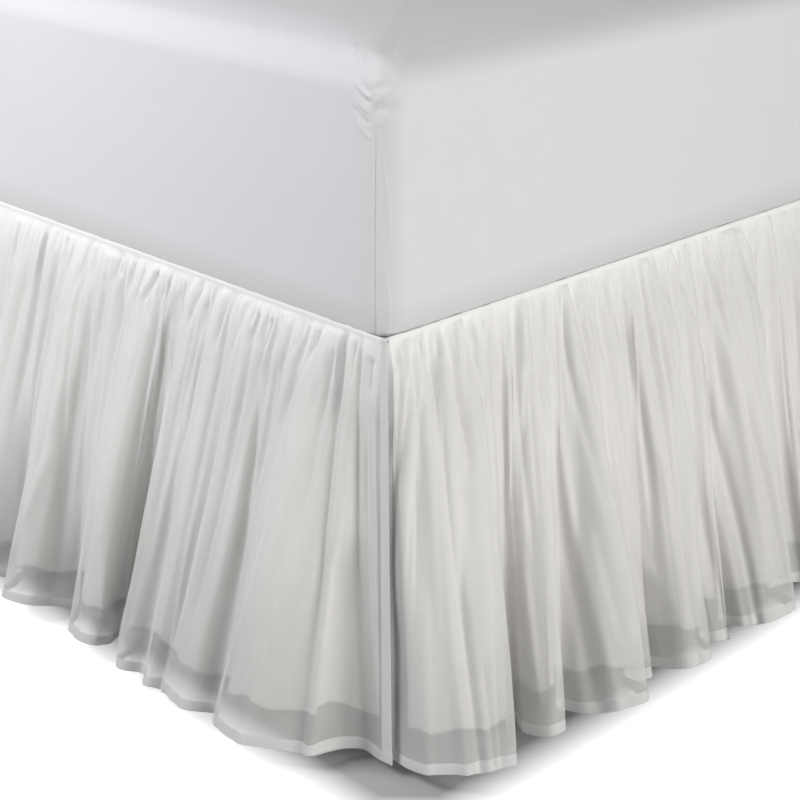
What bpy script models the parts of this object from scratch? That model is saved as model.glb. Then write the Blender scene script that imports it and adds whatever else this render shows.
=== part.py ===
"""A gathered bed skirt, split at its foot corners, on a plain queen bed.

Metres, +Z up. The floor is z = 0, the foot of the bed faces -Y, and the origin lies on the floor
under the middle of everything that is built. The skirt hangs from a deck cloth that lies between
the mattress and its base. Its fold tables are in millimetres: each row is one ridge, one valley
or one turn of the hem, counted along a side from a foot corner.
"""

import math
import random
from typing import NamedTuple

import bmesh
import bpy
import numpy as np
from mathutils import Matrix, Vector

MM = 0.001
GAP = 0.3 * MM  # between two pieces that touch

# Bed
BED_WIDTH = 1.524
BED_LENGTH = 2.032
MATTRESS_HEIGHT = 0.262
MATTRESS_OVERHANG = 0.004  # how far the mattress stands out past its base on every side
MATTRESS_CORNER = 0.036
MATTRESS_TOP_EDGE = 0.034
MATTRESS_BOTTOM_EDGE = 0.005
BASE_HEIGHT = 0.210
BASE_CORNER = 0.045
BASE_EDGE = 0.008

# Skirt
DROP = 0.457  # length of the cloth from seam to hem
LINING_DROP = 0.412
HEM_ABOVE_FLOOR = 0.012
CLOTH = 1.0 * MM
DECK_THICKNESS = 1.2 * MM
DECK_OVERHANG = 4.8 * MM
SEAM_RISE = 0.5 * MM  # how far the gathered seam stands above the deck
LINING_BEHIND_SEAM = 3.6 * MM  # face of the lining behind the face of the voile
LINING_BEHIND = 6.4 * MM
RIDGE_GAIN = 0.6  # how much higher ridges are near the seam than a straight fan gives
VALLEY_LOSS = 0.4  # how much shallower valleys are there
FOOT_REACH = 0.140  # the furthest that the foot's hem stands out from the bed

# Frame under the base
RAIL_WIDTH = 0.030
RAIL_HEIGHT = 0.040
RAIL_INSET = 0.060
LEG_RADIUS = 0.019
FOOT_RADIUS = 0.030
FOOT_HEIGHT = 0.012
LEG_SIDES = 24

# Mesh steps of the cloth
LINING_SHORT = 2  # columns that a lining starts behind the edge of its panel
COLUMN = 0.032  # cloth between two columns, measured along the hem
VOILE_ROWS = (0.0, 0.5, 1.0)  # shares of the drop
LINING_ROWS = (0.0045, 0.5)

DECK_BOTTOM = HEM_ABOVE_FLOOR + DROP
BASE_TOP = DECK_BOTTOM - GAP
BASE_BOTTOM = BASE_TOP - BASE_HEIGHT
MATTRESS_BOTTOM = DECK_BOTTOM + DECK_THICKNESS + GAP
SEAM_HEIGHT = DECK_BOTTOM + DECK_THICKNESS + SEAM_RISE
SEAM_OUT = DECK_OVERHANG + GAP + CLOTH
MIDDLE_Y = (FOOT_REACH - MATTRESS_OVERHANG) / 2  # so that the whole is centred on y = 0
FOOT_Y = MIDDLE_Y - BED_LENGTH / 2
HEAD_Y = MIDDLE_Y + BED_LENGTH / 2


class Fold(NamedTuple):
    """One ridge, valley or turn of the cloth, in millimetres from the foot corner."""

    top: float  # along the bed, at the seam
    hem: float  # along the bed, at the hem
    out: float  # out from the bed, at the hem


# From the right foot corner along the foot. The first rows are the flat, hemmed split edge.
FOOT_FOLDS = (
    Fold(top=-10, hem=-37, out=21),
    Fold(top=2, hem=-17, out=23),
    Fold(top=12, hem=6, out=22),
    Fold(top=22, hem=18, out=34),
    Fold(top=30, hem=25, out=56),
    Fold(top=38, hem=28, out=74),
    Fold(top=48, hem=38, out=81),
    Fold(top=60, hem=60, out=100),
    Fold(top=80, hem=98, out=126),
    Fold(top=105, hem=128, out=121),
    Fold(top=128, hem=156, out=102),
    Fold(top=150, hem=176, out=124),
    Fold(top=178, hem=205, out=125),
    Fold(top=200, hem=226, out=116),
    Fold(top=220, hem=246, out=126),
    Fold(top=250, hem=277, out=110),
    Fold(top=272, hem=300, out=125),
    Fold(top=308, hem=348, out=64),
    Fold(top=322, hem=376, out=72),
    Fold(top=332, hem=364, out=98),
    Fold(top=343, hem=362, out=113),
    Fold(top=362, hem=380, out=124),
    Fold(top=388, hem=408, out=117),
    Fold(top=430, hem=466, out=74),
    Fold(top=446, hem=484, out=92),
    Fold(top=462, hem=498, out=118),
    Fold(top=492, hem=526, out=134),
    Fold(top=540, hem=576, out=84),
)

# From the right foot corner along the right side. Its edge is tucked in behind the foot panel's.
SIDE_FOLDS = (
    Fold(top=-3, hem=-18, out=12),
    Fold(top=3, hem=-19, out=31),
    Fold(top=10, hem=-21, out=50),
    Fold(top=24, hem=-17, out=72),
    Fold(top=45, hem=-2, out=98),
    Fold(top=66, hem=10, out=118),
    Fold(top=90, hem=25, out=132),
    Fold(top=113, hem=42, out=138),
    Fold(top=133, hem=84, out=98),
    Fold(top=145, hem=107, out=71),
    Fold(top=154, hem=118, out=65),
    Fold(top=163, hem=117, out=80),
    Fold(top=178, hem=106, out=108),
    Fold(top=200, hem=114, out=131),
    Fold(top=222, hem=138, out=126),
    Fold(top=240, hem=169, out=94),
    Fold(top=250, hem=173, out=122),
    Fold(top=262, hem=188, out=153),
    Fold(top=279, hem=216, out=168),
    Fold(top=305, hem=262, out=120),
    Fold(top=325, hem=281, out=131),
    Fold(top=345, hem=304, out=98),
    Fold(top=358, hem=308, out=128),
    Fold(top=380, hem=316, out=156),
    Fold(top=415, hem=341, out=165),
    Fold(top=442, hem=390, out=122),
    Fold(top=462, hem=405, out=147),
    Fold(top=484, hem=442, out=110),
    Fold(top=500, hem=448, out=136),
    Fold(top=525, hem=458, out=158),
    Fold(top=570, hem=496, out=170),
    Fold(top=612, hem=560, out=98),
    Fold(top=632, hem=594, out=108),
    Fold(top=650, hem=598, out=132),
    Fold(top=690, hem=628, out=160),
    Fold(top=725, hem=676, out=112),
)

# At the left foot corner, from the corner on. The foot panel's edge hangs over the left panel's.
FOOT_EDGE_FOLDS = (
    Fold(top=-10, hem=-33, out=20),
    Fold(top=3, hem=-14, out=22),
    Fold(top=14, hem=8, out=24),
    Fold(top=28, hem=20, out=48),
    Fold(top=44, hem=38, out=86),
    Fold(top=72, hem=70, out=118),
    Fold(top=104, hem=112, out=124),
    Fold(top=134, hem=150, out=88),
)
LEFT_EDGE_FOLDS = (
    Fold(top=-3, hem=-16, out=9),
    Fold(top=3, hem=-17, out=26),
    Fold(top=10, hem=-20, out=46),
    Fold(top=30, hem=-13, out=84),
    Fold(top=62, hem=14, out=122),
    Fold(top=98, hem=44, out=140),
    Fold(top=126, hem=92, out=88),
)

# How a side panel ends at the head, counted back from the head end of the bed.
HEAD_EDGE_FOLDS = (
    Fold(top=2, hem=2, out=104),
    Fold(top=34, hem=36, out=118),
)
TABLES_JOIN = 30  # least length of seam between drawn folds and the table after them


class Spread(NamedTuple):
    """The range that the folds of an unseen stretch are drawn from, in millimetres."""

    pitch: tuple  # valley to valley
    ridge: tuple  # out at the hem
    valley: tuple  # out at the hem
    lean: float  # hem along the bed less top along the bed, at the stretch's start
    seed: int


LEAN_CHANGE = 8  # how far a drawn fold's lean may differ from the stretch's
FLAT_FROM = (0.36, 0.50)  # where a drawn ridge's flat crown starts, as a share of its pitch
FLAT_TO = (0.72, 0.82)
CROWN_TILT = 4  # how much less a crown stands out at its start
CROWN_SPREAD = 4  # how far each end of a crown spreads along the hem

FOOT_SPREAD = Spread(pitch=(78, 122), ridge=(118, 134), valley=(66, 96), lean=30, seed=11)
RIGHT_SPREAD = Spread(pitch=(80, 124), ridge=(138, 168), valley=(84, 116), lean=-48, seed=23)
LEFT_SPREAD = Spread(pitch=(80, 124), ridge=(136, 168), valley=(80, 112), lean=-34, seed=37)


class Panel(NamedTuple):
    """Where a panel hangs: its first corner, and the plan directions along and out."""

    corner: Vector
    along: Vector
    out: Vector


RIGHT = Panel(Vector((BED_WIDTH / 2, FOOT_Y, 0)), Vector((0, 1, 0)), Vector((1, 0, 0)))
LEFT = Panel(Vector((-BED_WIDTH / 2, FOOT_Y, 0)), Vector((0, 1, 0)), Vector((-1, 0, 0)))
FOOT = Panel(Vector((BED_WIDTH / 2, FOOT_Y, 0)), Vector((-1, 0, 0)), Vector((0, -1, 0)))


def unseen_folds(start, stop, spread):
    """Uneven flat-crowned ridges with valleys between, from a valley at start on.

    They end with a valley, before the next one would pass stop.
    """
    draw = random.Random(spread.seed)
    folds = []
    valley_top = start
    while True:
        pitch = draw.uniform(*spread.pitch)
        if valley_top + pitch > stop:
            return folds
        left = (stop - valley_top) / (stop - start)
        lean = spread.lean * left + draw.uniform(-LEAN_CHANGE, LEAN_CHANGE)
        rise = valley_top + pitch * draw.uniform(*FLAT_FROM)
        crown = valley_top + pitch * draw.uniform(*FLAT_TO)
        ridge = draw.uniform(*spread.ridge)
        valley_top += pitch
        folds.append(Fold(rise, rise + lean - CROWN_SPREAD, ridge - CROWN_TILT))
        folds.append(Fold(crown, crown + lean + CROWN_SPREAD, ridge))
        folds.append(Fold(valley_top, valley_top + lean, draw.uniform(*spread.valley)))


def turned_round(folds, length):
    """The same folds counted from the panel's other end."""
    return [Fold(length - fold.top, length - fold.hem, fold.out) for fold in reversed(folds)]


def whole_panel(first, spread, last, length):
    """A panel's folds: a table from its first end, drawn folds, a table to its other end."""
    stop = length - last[-1].top - TABLES_JOIN
    between = unseen_folds(first[-1].top, stop, spread)
    return [*first, *between, *turned_round(last, length)]


def through(stations, values, at):
    """A smooth curve through values at stations, read at the places in at."""
    slopes = np.gradient(values, stations)
    index = np.clip(np.searchsorted(stations, at) - 1, 0, len(stations) - 2)
    step = stations[index + 1] - stations[index]
    u = (at - stations[index]) / step
    return (
        (1 + 2 * u) * (1 - u) ** 2 * values[index]
        + u * (1 - u) ** 2 * step * slopes[index]
        + u**2 * (3 - 2 * u) * values[index + 1]
        + u**2 * (u - 1) * step * slopes[index + 1]
    )


class Drape:
    """The hanging surface of one panel, worked out from its folds."""

    NEAR = 3  # rows on each side that a fold's mean reach is taken over
    NUDGE = 0.5 * MM  # a short way along the cloth, which gives its direction

    def __init__(self, folds):
        table = np.array(folds, float) * MM
        self.top, self.hem, self.out = table.T
        steps = np.hypot(np.diff(self.hem), np.diff(self.out))
        self.stations = np.concatenate([[0.0], np.cumsum(steps)])
        rows = range(len(folds))
        near = [self.out[max(0, i - self.NEAR) : i + self.NEAR + 1] for i in rows]
        self.mean = np.array([values.mean() for values in near])

    def columns(self, widest):
        """Places along the hem's cloth: one on each fold's row, and others no further apart."""
        places = [self.stations[:1]]
        for first, last in zip(self.stations[:-1], self.stations[1:]):
            count = int(np.ceil((last - first) / widest))
            places.append(np.linspace(first, last, count + 1)[1:])
        return np.concatenate(places)

    def points(self, at, share):
        """(along, out, down) at the places in at and the shares of the drop in share."""
        top, hem, out, mean = (
            through(self.stations, values, at)
            for values in (self.top, self.hem, self.out, self.mean)
        )
        along = top + (hem - top) * share
        depth = out - mean
        gain = np.where(depth > 0, RIDGE_GAIN, -VALLEY_LOSS) * (1 - share)
        outward = share * (mean + depth * (1 + gain))
        down = share * np.sqrt(DROP**2 - out**2)
        return along, outward + SEAM_OUT, down

    def grid(self, at, shares):
        """The points of a mesh grid, by column and row."""
        rows = [np.stack(self.points(at, share), axis=-1) for share in shares]
        return np.stack(rows, axis=1)

    def grid_behind(self, at, shares, behind):
        """The same grid, with each row set back square to the cloth by its entry in behind."""
        points = self.grid(at, shares)
        across = self.grid(at + self.NUDGE, shares) - self.grid(at - self.NUDGE, shares)
        inward = np.stack([across[..., 1], -across[..., 0]], axis=-1)
        inward /= np.linalg.norm(inward, axis=-1, keepdims=True)
        points[..., :2] += inward * np.array(behind)[None, :, None]
        return points


def clear_scene():
    for thing in list(bpy.data.objects):
        bpy.data.objects.remove(thing, do_unlink=True)


def plain_material(name, colour, roughness, metallic=0.0):
    material = bpy.data.materials.new(name)
    material.use_nodes = True
    shader = material.node_tree.nodes["Principled BSDF"]
    shader.inputs["Base Color"].default_value = (*colour, 1.0)
    shader.inputs["Roughness"].default_value = roughness
    shader.inputs["Metallic"].default_value = metallic
    return material


def add_object(name, mesh_data, material):
    mesh = bpy.data.meshes.new(name)
    mesh_data.to_mesh(mesh)
    mesh_data.free()
    mesh.materials.append(material)
    thing = bpy.data.objects.new(name, mesh)
    bpy.context.scene.collection.objects.link(thing)
    return thing


def box_mesh(low, high):
    """A bmesh box between two corners."""
    low, high = Vector(low), Vector(high)
    mesh = bmesh.new()
    size = Matrix.Diagonal((*(high - low), 1.0))
    place = Matrix.Translation((low + high) / 2)
    bmesh.ops.create_cube(mesh, size=1.0, matrix=place @ size)
    return mesh


def upright(edge):
    first, second = edge.verts
    return (first.co.xy - second.co.xy).length < 0.1 * MM


def round_edges(mesh, chosen, radius, segments):
    edges = [edge for edge in mesh.edges if chosen(edge)]
    bmesh.ops.bevel(
        mesh,
        geom=edges,
        offset=radius,
        segments=segments,
        profile=0.5,
        affect="EDGES",
        material=-1,
        clamp_overlap=True,
    )


def level_at(height):
    """A test for the edges that lie flat at a height."""

    def chosen(edge):
        return all(abs(vert.co.z - height) < 0.1 * MM for vert in edge.verts)

    return chosen


def build_mattress():
    half = BED_WIDTH / 2 + MATTRESS_OVERHANG
    top = MATTRESS_BOTTOM + MATTRESS_HEIGHT
    low = (-half, FOOT_Y - MATTRESS_OVERHANG, MATTRESS_BOTTOM)
    mesh = box_mesh(low, (half, HEAD_Y + MATTRESS_OVERHANG, top))
    round_edges(mesh, upright, MATTRESS_CORNER, 6)
    round_edges(mesh, level_at(top), MATTRESS_TOP_EDGE, 5)
    round_edges(mesh, level_at(MATTRESS_BOTTOM), MATTRESS_BOTTOM_EDGE, 3)
    sheeting = plain_material("fitted_sheet", (0.80, 0.81, 0.83), 0.75)
    thing = add_object("mattress", mesh, sheeting)
    thing.data.shade_smooth()
    return thing


def build_deck(cotton):
    half = BED_WIDTH / 2 + DECK_OVERHANG
    low = (-half, FOOT_Y - DECK_OVERHANG, DECK_BOTTOM)
    high = (half, HEAD_Y, DECK_BOTTOM + DECK_THICKNESS)
    return add_object("deck", box_mesh(low, high), cotton)


def build_base():
    half = BED_WIDTH / 2
    mesh = box_mesh((-half, FOOT_Y, BASE_BOTTOM), (half, HEAD_Y, BASE_TOP))
    round_edges(mesh, upright, BASE_CORNER, 6)
    round_edges(mesh, level_at(BASE_TOP), BASE_EDGE, 2)
    round_edges(mesh, level_at(BASE_BOTTOM), BASE_EDGE, 2)
    ticking = plain_material("ticking", (0.62, 0.61, 0.58), 0.85)
    thing = add_object("box_spring", mesh, ticking)
    thing.data.shade_smooth()
    return thing


def hang_cloth(name, panel, points, material):
    """A sheet through points[column, row], hung from the panel's corner and made solid."""
    columns, rows = points.shape[:2]
    mesh = bmesh.new()
    bmesh.ops.create_grid(mesh, x_segments=columns - 1, y_segments=rows - 1, size=0.5)
    for vert in mesh.verts:
        column = round((vert.co.x + 0.5) * (columns - 1))
        row = round((0.5 - vert.co.y) * (rows - 1))
        along, out, down = (float(value) for value in points[column, row])
        vert.co = panel.corner + panel.along * along + panel.out * out
        vert.co.z = SEAM_HEIGHT - down
    if panel.along.cross(Vector((0, 0, 1))).dot(panel.out) < 0:
        bmesh.ops.reverse_faces(mesh, faces=mesh.faces)
    thing = add_object(name, mesh, material)
    thing.data.shade_smooth()
    thickness = thing.modifiers.new("thickness", "SOLIDIFY")
    thickness.thickness = CLOTH
    thickness.offset = -1.0
    thickness.use_even_offset = False
    return thing


def build_panel(side, panel, folds, voile, cotton):
    """A voile panel, and the shorter lining panel that hangs behind it in the same folds."""
    drape = Drape(folds)
    at = drape.columns(COLUMN)
    hang_cloth(f"skirt_{side}", panel, drape.grid(at, VOILE_ROWS), voile)
    shares = (*LINING_ROWS, LINING_DROP / DROP)
    behind = (LINING_BEHIND_SEAM, *(LINING_BEHIND for _ in shares[1:]))
    inner = at[LINING_SHORT:-1]
    hang_cloth(f"lining_{side}", panel, drape.grid_behind(inner, shares, behind), cotton)


def build_rails(steel):
    """A rectangle of tube with one tube down its middle, its ends butted a gap apart."""
    half = BED_WIDTH / 2 - RAIL_INSET
    foot = FOOT_Y + RAIL_INSET
    head = HEAD_Y - RAIL_INSET
    top = BASE_BOTTOM - GAP
    bottom = top - RAIL_HEIGHT
    inner_foot = foot + RAIL_WIDTH + GAP
    inner_head = head - RAIL_WIDTH - GAP
    middle = RAIL_WIDTH / 2
    spans = {
        "rail_foot": ((-half, foot), (half, foot + RAIL_WIDTH)),
        "rail_head": ((-half, head - RAIL_WIDTH), (half, head)),
        "rail_left": ((-half, inner_foot), (-half + RAIL_WIDTH, inner_head)),
        "rail_right": ((half - RAIL_WIDTH, inner_foot), (half, inner_head)),
        "rail_middle": ((-middle, inner_foot), (middle, inner_head)),
    }
    for name, (low, high) in spans.items():
        mesh = box_mesh((*low, bottom), (*high, top))
        add_object(name, mesh, steel)
    return bottom


def raise_face(mesh, face, height):
    """Pulls a face up into a block and returns the block's top face."""
    grown = bmesh.ops.extrude_discrete_faces(mesh, faces=[face])["faces"][0]
    bmesh.ops.translate(mesh, verts=grown.verts, vec=(0, 0, height))
    return grown


def build_leg(name, x, y, top, steel):
    """A round leg on a wider round foot."""
    mesh = bmesh.new()
    bmesh.ops.create_circle(mesh, cap_ends=True, segments=LEG_SIDES, radius=FOOT_RADIUS)
    sole = bmesh.ops.duplicate(mesh, geom=mesh.faces[:])
    sole = [item for item in sole["geom"] if isinstance(item, bmesh.types.BMFace)]
    bmesh.ops.reverse_faces(mesh, faces=sole)
    step = raise_face(mesh, next(face for face in mesh.faces if face not in sole), FOOT_HEIGHT)
    bmesh.ops.inset_region(mesh, faces=[step], thickness=FOOT_RADIUS - LEG_RADIUS)
    raise_face(mesh, step, top - FOOT_HEIGHT)
    bmesh.ops.remove_doubles(mesh, verts=mesh.verts, dist=0.01 * MM)
    leg = add_object(name, mesh, steel)
    leg.location = (x, y, 0)
    leg.data.shade_smooth()
    leg.data.set_sharp_from_angle(angle=math.radians(35))
    return leg


def build_frame():
    steel = plain_material("frame_steel", (0.10, 0.10, 0.11), 0.45, 0.6)
    rail_bottom = build_rails(steel)
    side = BED_WIDTH / 2 - RAIL_INSET - RAIL_WIDTH / 2
    end = BED_LENGTH / 2 - RAIL_INSET - RAIL_WIDTH / 2
    places = {
        "leg_foot_left": (-side, -end),
        "leg_foot_right": (side, -end),
        "leg_middle_left": (-side, 0),
        "leg_middle_right": (side, 0),
        "leg_head_left": (-side, end),
        "leg_head_right": (side, end),
        "leg_centre": (0, 0),
    }
    for name, (x, y) in places.items():
        build_leg(name, x, MIDDLE_Y + y, rail_bottom - GAP, steel)


def main():
    clear_scene()
    build_mattress()
    build_base()
    build_frame()
    cotton = plain_material("deck_cotton", (0.74, 0.74, 0.73), 0.85)
    voile = plain_material("voile", (0.72, 0.72, 0.71), 0.80)
    lining = plain_material("lining_cotton", (0.66, 0.65, 0.63), 0.85)
    build_deck(cotton)
    width, length = BED_WIDTH / MM, BED_LENGTH / MM
    foot = whole_panel(FOOT_FOLDS, FOOT_SPREAD, FOOT_EDGE_FOLDS, width)
    right = whole_panel(SIDE_FOLDS, RIGHT_SPREAD, HEAD_EDGE_FOLDS, length)
    left = whole_panel(LEFT_EDGE_FOLDS, LEFT_SPREAD, HEAD_EDGE_FOLDS, length)
    build_panel("foot", FOOT, foot, voile, lining)
    build_panel("right", RIGHT, right, voile, lining)
    build_panel("left", LEFT, left, voile, lining)


main()
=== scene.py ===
"""A gathered voile bed skirt round a plain queen bed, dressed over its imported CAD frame.

Metres, +Z up. The foot of the bed faces -Y, and the floor is z = 0. The fold and crease tables
are in millimetres, counted along a side from a foot corner, and down from the skirt's seam.
"""

import logging
import math
import random
from dataclasses import dataclass, field
from enum import Enum
from typing import Iterable, NamedTuple, Sequence, Union

import bmesh
import bpy
import numpy as np
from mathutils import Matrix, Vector


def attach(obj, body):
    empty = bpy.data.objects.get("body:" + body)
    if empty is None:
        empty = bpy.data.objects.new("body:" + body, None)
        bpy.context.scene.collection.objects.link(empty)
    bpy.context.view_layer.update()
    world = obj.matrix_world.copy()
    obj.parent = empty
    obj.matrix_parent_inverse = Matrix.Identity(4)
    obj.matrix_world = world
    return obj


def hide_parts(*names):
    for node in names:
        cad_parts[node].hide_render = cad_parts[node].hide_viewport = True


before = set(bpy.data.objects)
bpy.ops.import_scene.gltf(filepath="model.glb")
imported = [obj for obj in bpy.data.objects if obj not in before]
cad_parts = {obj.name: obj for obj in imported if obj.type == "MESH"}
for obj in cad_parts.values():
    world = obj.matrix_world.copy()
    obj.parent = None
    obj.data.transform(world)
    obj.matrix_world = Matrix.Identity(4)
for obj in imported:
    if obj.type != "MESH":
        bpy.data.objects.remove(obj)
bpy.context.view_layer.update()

MM = 0.001
BODY = "root"
log = logging.getLogger("bed_skirt")


# ------------------------------------------------------------------ sizes and named options


@dataclass(frozen=True)
class Bed:
    """The bed's sizes and heights, the same as the CAD frame's, in metres."""

    width: float = 1.524
    length: float = 2.032
    middle_y: float = 0.068
    gap: float = 0.3 * MM
    deck_bottom: float = 0.469
    deck_thickness: float = 1.2 * MM
    deck_overhang: float = 4.8 * MM
    seam_rise: float = 0.5 * MM

    @property
    def foot_y(self) -> float:
        """The foot end of the base."""
        return self.middle_y - self.length / 2

    @property
    def head_y(self) -> float:
        """The head end of the base."""
        return self.middle_y + self.length / 2

    @property
    def deck_top(self) -> float:
        """The deck cloth's upper face."""
        return self.deck_bottom + self.deck_thickness

    @property
    def seam_height(self) -> float:
        """Where a panel's face starts to hang."""
        return self.deck_top + self.seam_rise

    @property
    def seam_out(self) -> float:
        """How far a panel's face stands out from the base at its seam."""
        return self.deck_overhang + self.gap + 1.0 * MM


BED = Bed()


class Side(Enum):
    """A side of the bed that a skirt panel hangs on."""

    FOOT = "foot"
    RIGHT = "right"
    LEFT = "left"

    @property
    def corner(self) -> np.ndarray:
        """The foot corner that the side's tables count from."""
        sign = -1.0 if self is Side.LEFT else 1.0
        return np.array([sign * BED.width / 2, BED.foot_y, 0.0])

    @property
    def along(self) -> np.ndarray:
        """The plan direction along the side, away from that corner."""
        return np.array([-1.0, 0, 0]) if self is Side.FOOT else np.array([0, 1.0, 0])

    @property
    def out(self) -> np.ndarray:
        """The plan direction out from the bed.

        Returns:
            A unit vector.
        """
        if self is Side.FOOT:
            return np.array([0, -1.0, 0])
        return np.array([-1.0, 0, 0]) if self is Side.LEFT else np.array([1.0, 0, 0])

    @property
    def mirrored(self) -> bool:
        """True where along, up and out don't make a right-handed set."""
        return bool(np.dot(np.cross(self.along, (0, 0, 1)), self.out) < 0)


class Slot(Enum):
    """The record's material slots."""

    FITTED_SHEET = "fitted_sheet"
    DECK_COTTON = "deck_cotton"
    VOILE = "voile"
    LINING_COTTON = "lining_cotton"
    TICKING = "ticking"
    FRAME_STEEL = "frame_steel"


class Fold(NamedTuple):
    """One ridge, valley or turn of a panel, in millimetres from the foot corner."""

    top: float  # along the bed, at the seam
    hem: float  # along the bed, at the hem
    out: float  # out from the bed, at the hem


class Crease(NamedTuple):
    """One soft ridge (rise over 0) or groove of the cloth, in millimetres.

    Its middle line passes through three places along the side, at its start, halfway and end.
    Start and end are measured down the cloth, and width is a third of what the crease takes up.
    """

    first: float
    middle: float
    last: float
    start: float
    end: float
    width: float
    rise: float


def fold_table(*rows: tuple[float, float, float]) -> tuple[Fold, ...]:
    """Folds from rows of top, hem and out."""
    return tuple(Fold(*row) for row in rows)


def crease_table(*rows: tuple[float, ...]) -> tuple[Crease, ...]:
    """Creases from rows of first, middle, last, start, end, width and rise."""
    return tuple(Crease(*row) for row in rows)


# ------------------------------------------------------------------ fold and crease tables

# From the right foot corner along the foot. The first rows are the flat, hemmed split edge.
FOOT_FOLDS = fold_table(
    (-10, -37, 21), (2, -17, 23), (12, 6, 22), (22, 18, 34), (30, 25, 56), (38, 28, 74),
    (48, 38, 81), (60, 60, 100), (80, 98, 126), (105, 128, 121), (128, 156, 102),
    (150, 176, 124), (178, 205, 125), (200, 226, 116), (220, 246, 126), (250, 277, 110),
    (272, 300, 125), (308, 348, 64), (322, 376, 72), (332, 364, 98), (343, 362, 113),
    (362, 380, 124), (388, 408, 117), (430, 466, 74), (446, 484, 92), (462, 498, 118),
    (492, 526, 134), (540, 576, 84),
)

# From the right foot corner along the right side. Its edge is tucked in behind the foot panel's.
SIDE_FOLDS = fold_table(
    (-3, -18, 12), (3, -19, 31), (10, -21, 50), (24, -17, 72), (45, -2, 98), (66, 10, 118),
    (90, 25, 132), (113, 42, 138), (133, 84, 98), (145, 107, 71), (154, 118, 65),
    (163, 117, 80), (178, 106, 108), (200, 114, 131), (222, 138, 126), (240, 169, 94),
    (250, 173, 122), (262, 188, 153), (279, 216, 168), (305, 262, 120), (325, 281, 131),
    (345, 304, 98), (358, 308, 128), (380, 316, 156), (415, 341, 165), (442, 390, 122),
    (462, 405, 147), (484, 442, 110), (500, 448, 136), (525, 458, 158), (570, 496, 170),
    (612, 560, 98), (632, 594, 108), (650, 598, 132), (690, 628, 160), (725, 676, 112),
)

# At the left foot corner, from the corner on. The foot panel's edge hangs over the left panel's.
FOOT_EDGE_FOLDS = fold_table(
    (-10, -33, 20), (3, -14, 22), (14, 8, 24), (28, 20, 48), (44, 38, 86), (72, 70, 118),
    (104, 112, 124), (134, 150, 88),
)
LEFT_EDGE_FOLDS = fold_table(
    (-3, -16, 9), (3, -17, 26), (10, -20, 46), (30, -13, 84), (62, 14, 122), (98, 44, 140),
    (126, 92, 88),
)

# How a side panel ends at the head, counted back from the head end of the bed.
HEAD_EDGE_FOLDS = fold_table((2, 2, 104), (34, 36, 118))
TABLES_JOIN = 30  # least length of seam between drawn folds and the table after them


class Spread(NamedTuple):
    """The range that the folds of an unseen stretch are drawn from, in millimetres."""

    pitch: tuple[float, float]  # valley to valley
    ridge: tuple[float, float]  # out at the hem
    valley: tuple[float, float]  # out at the hem
    lean: float  # hem along the bed less top along the bed, at the stretch's start
    seed: int


LEAN_CHANGE = 8  # how far a drawn fold's lean may differ from the stretch's
FLAT_FROM = (0.36, 0.50)  # where a drawn ridge's flat crown starts, as a share of its pitch
FLAT_TO = (0.72, 0.82)
CROWN_TILT = 4  # how much less a crown stands out at its start
CROWN_SPREAD = 4  # how far each end of a crown spreads along the hem

FOOT_SPREAD = Spread(pitch=(78, 122), ridge=(118, 134), valley=(66, 96), lean=30, seed=11)
RIGHT_SPREAD = Spread(pitch=(80, 124), ridge=(138, 168), valley=(84, 116), lean=-48, seed=23)
LEFT_SPREAD = Spread(pitch=(80, 124), ridge=(136, 168), valley=(80, 112), lean=-34, seed=37)

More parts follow.
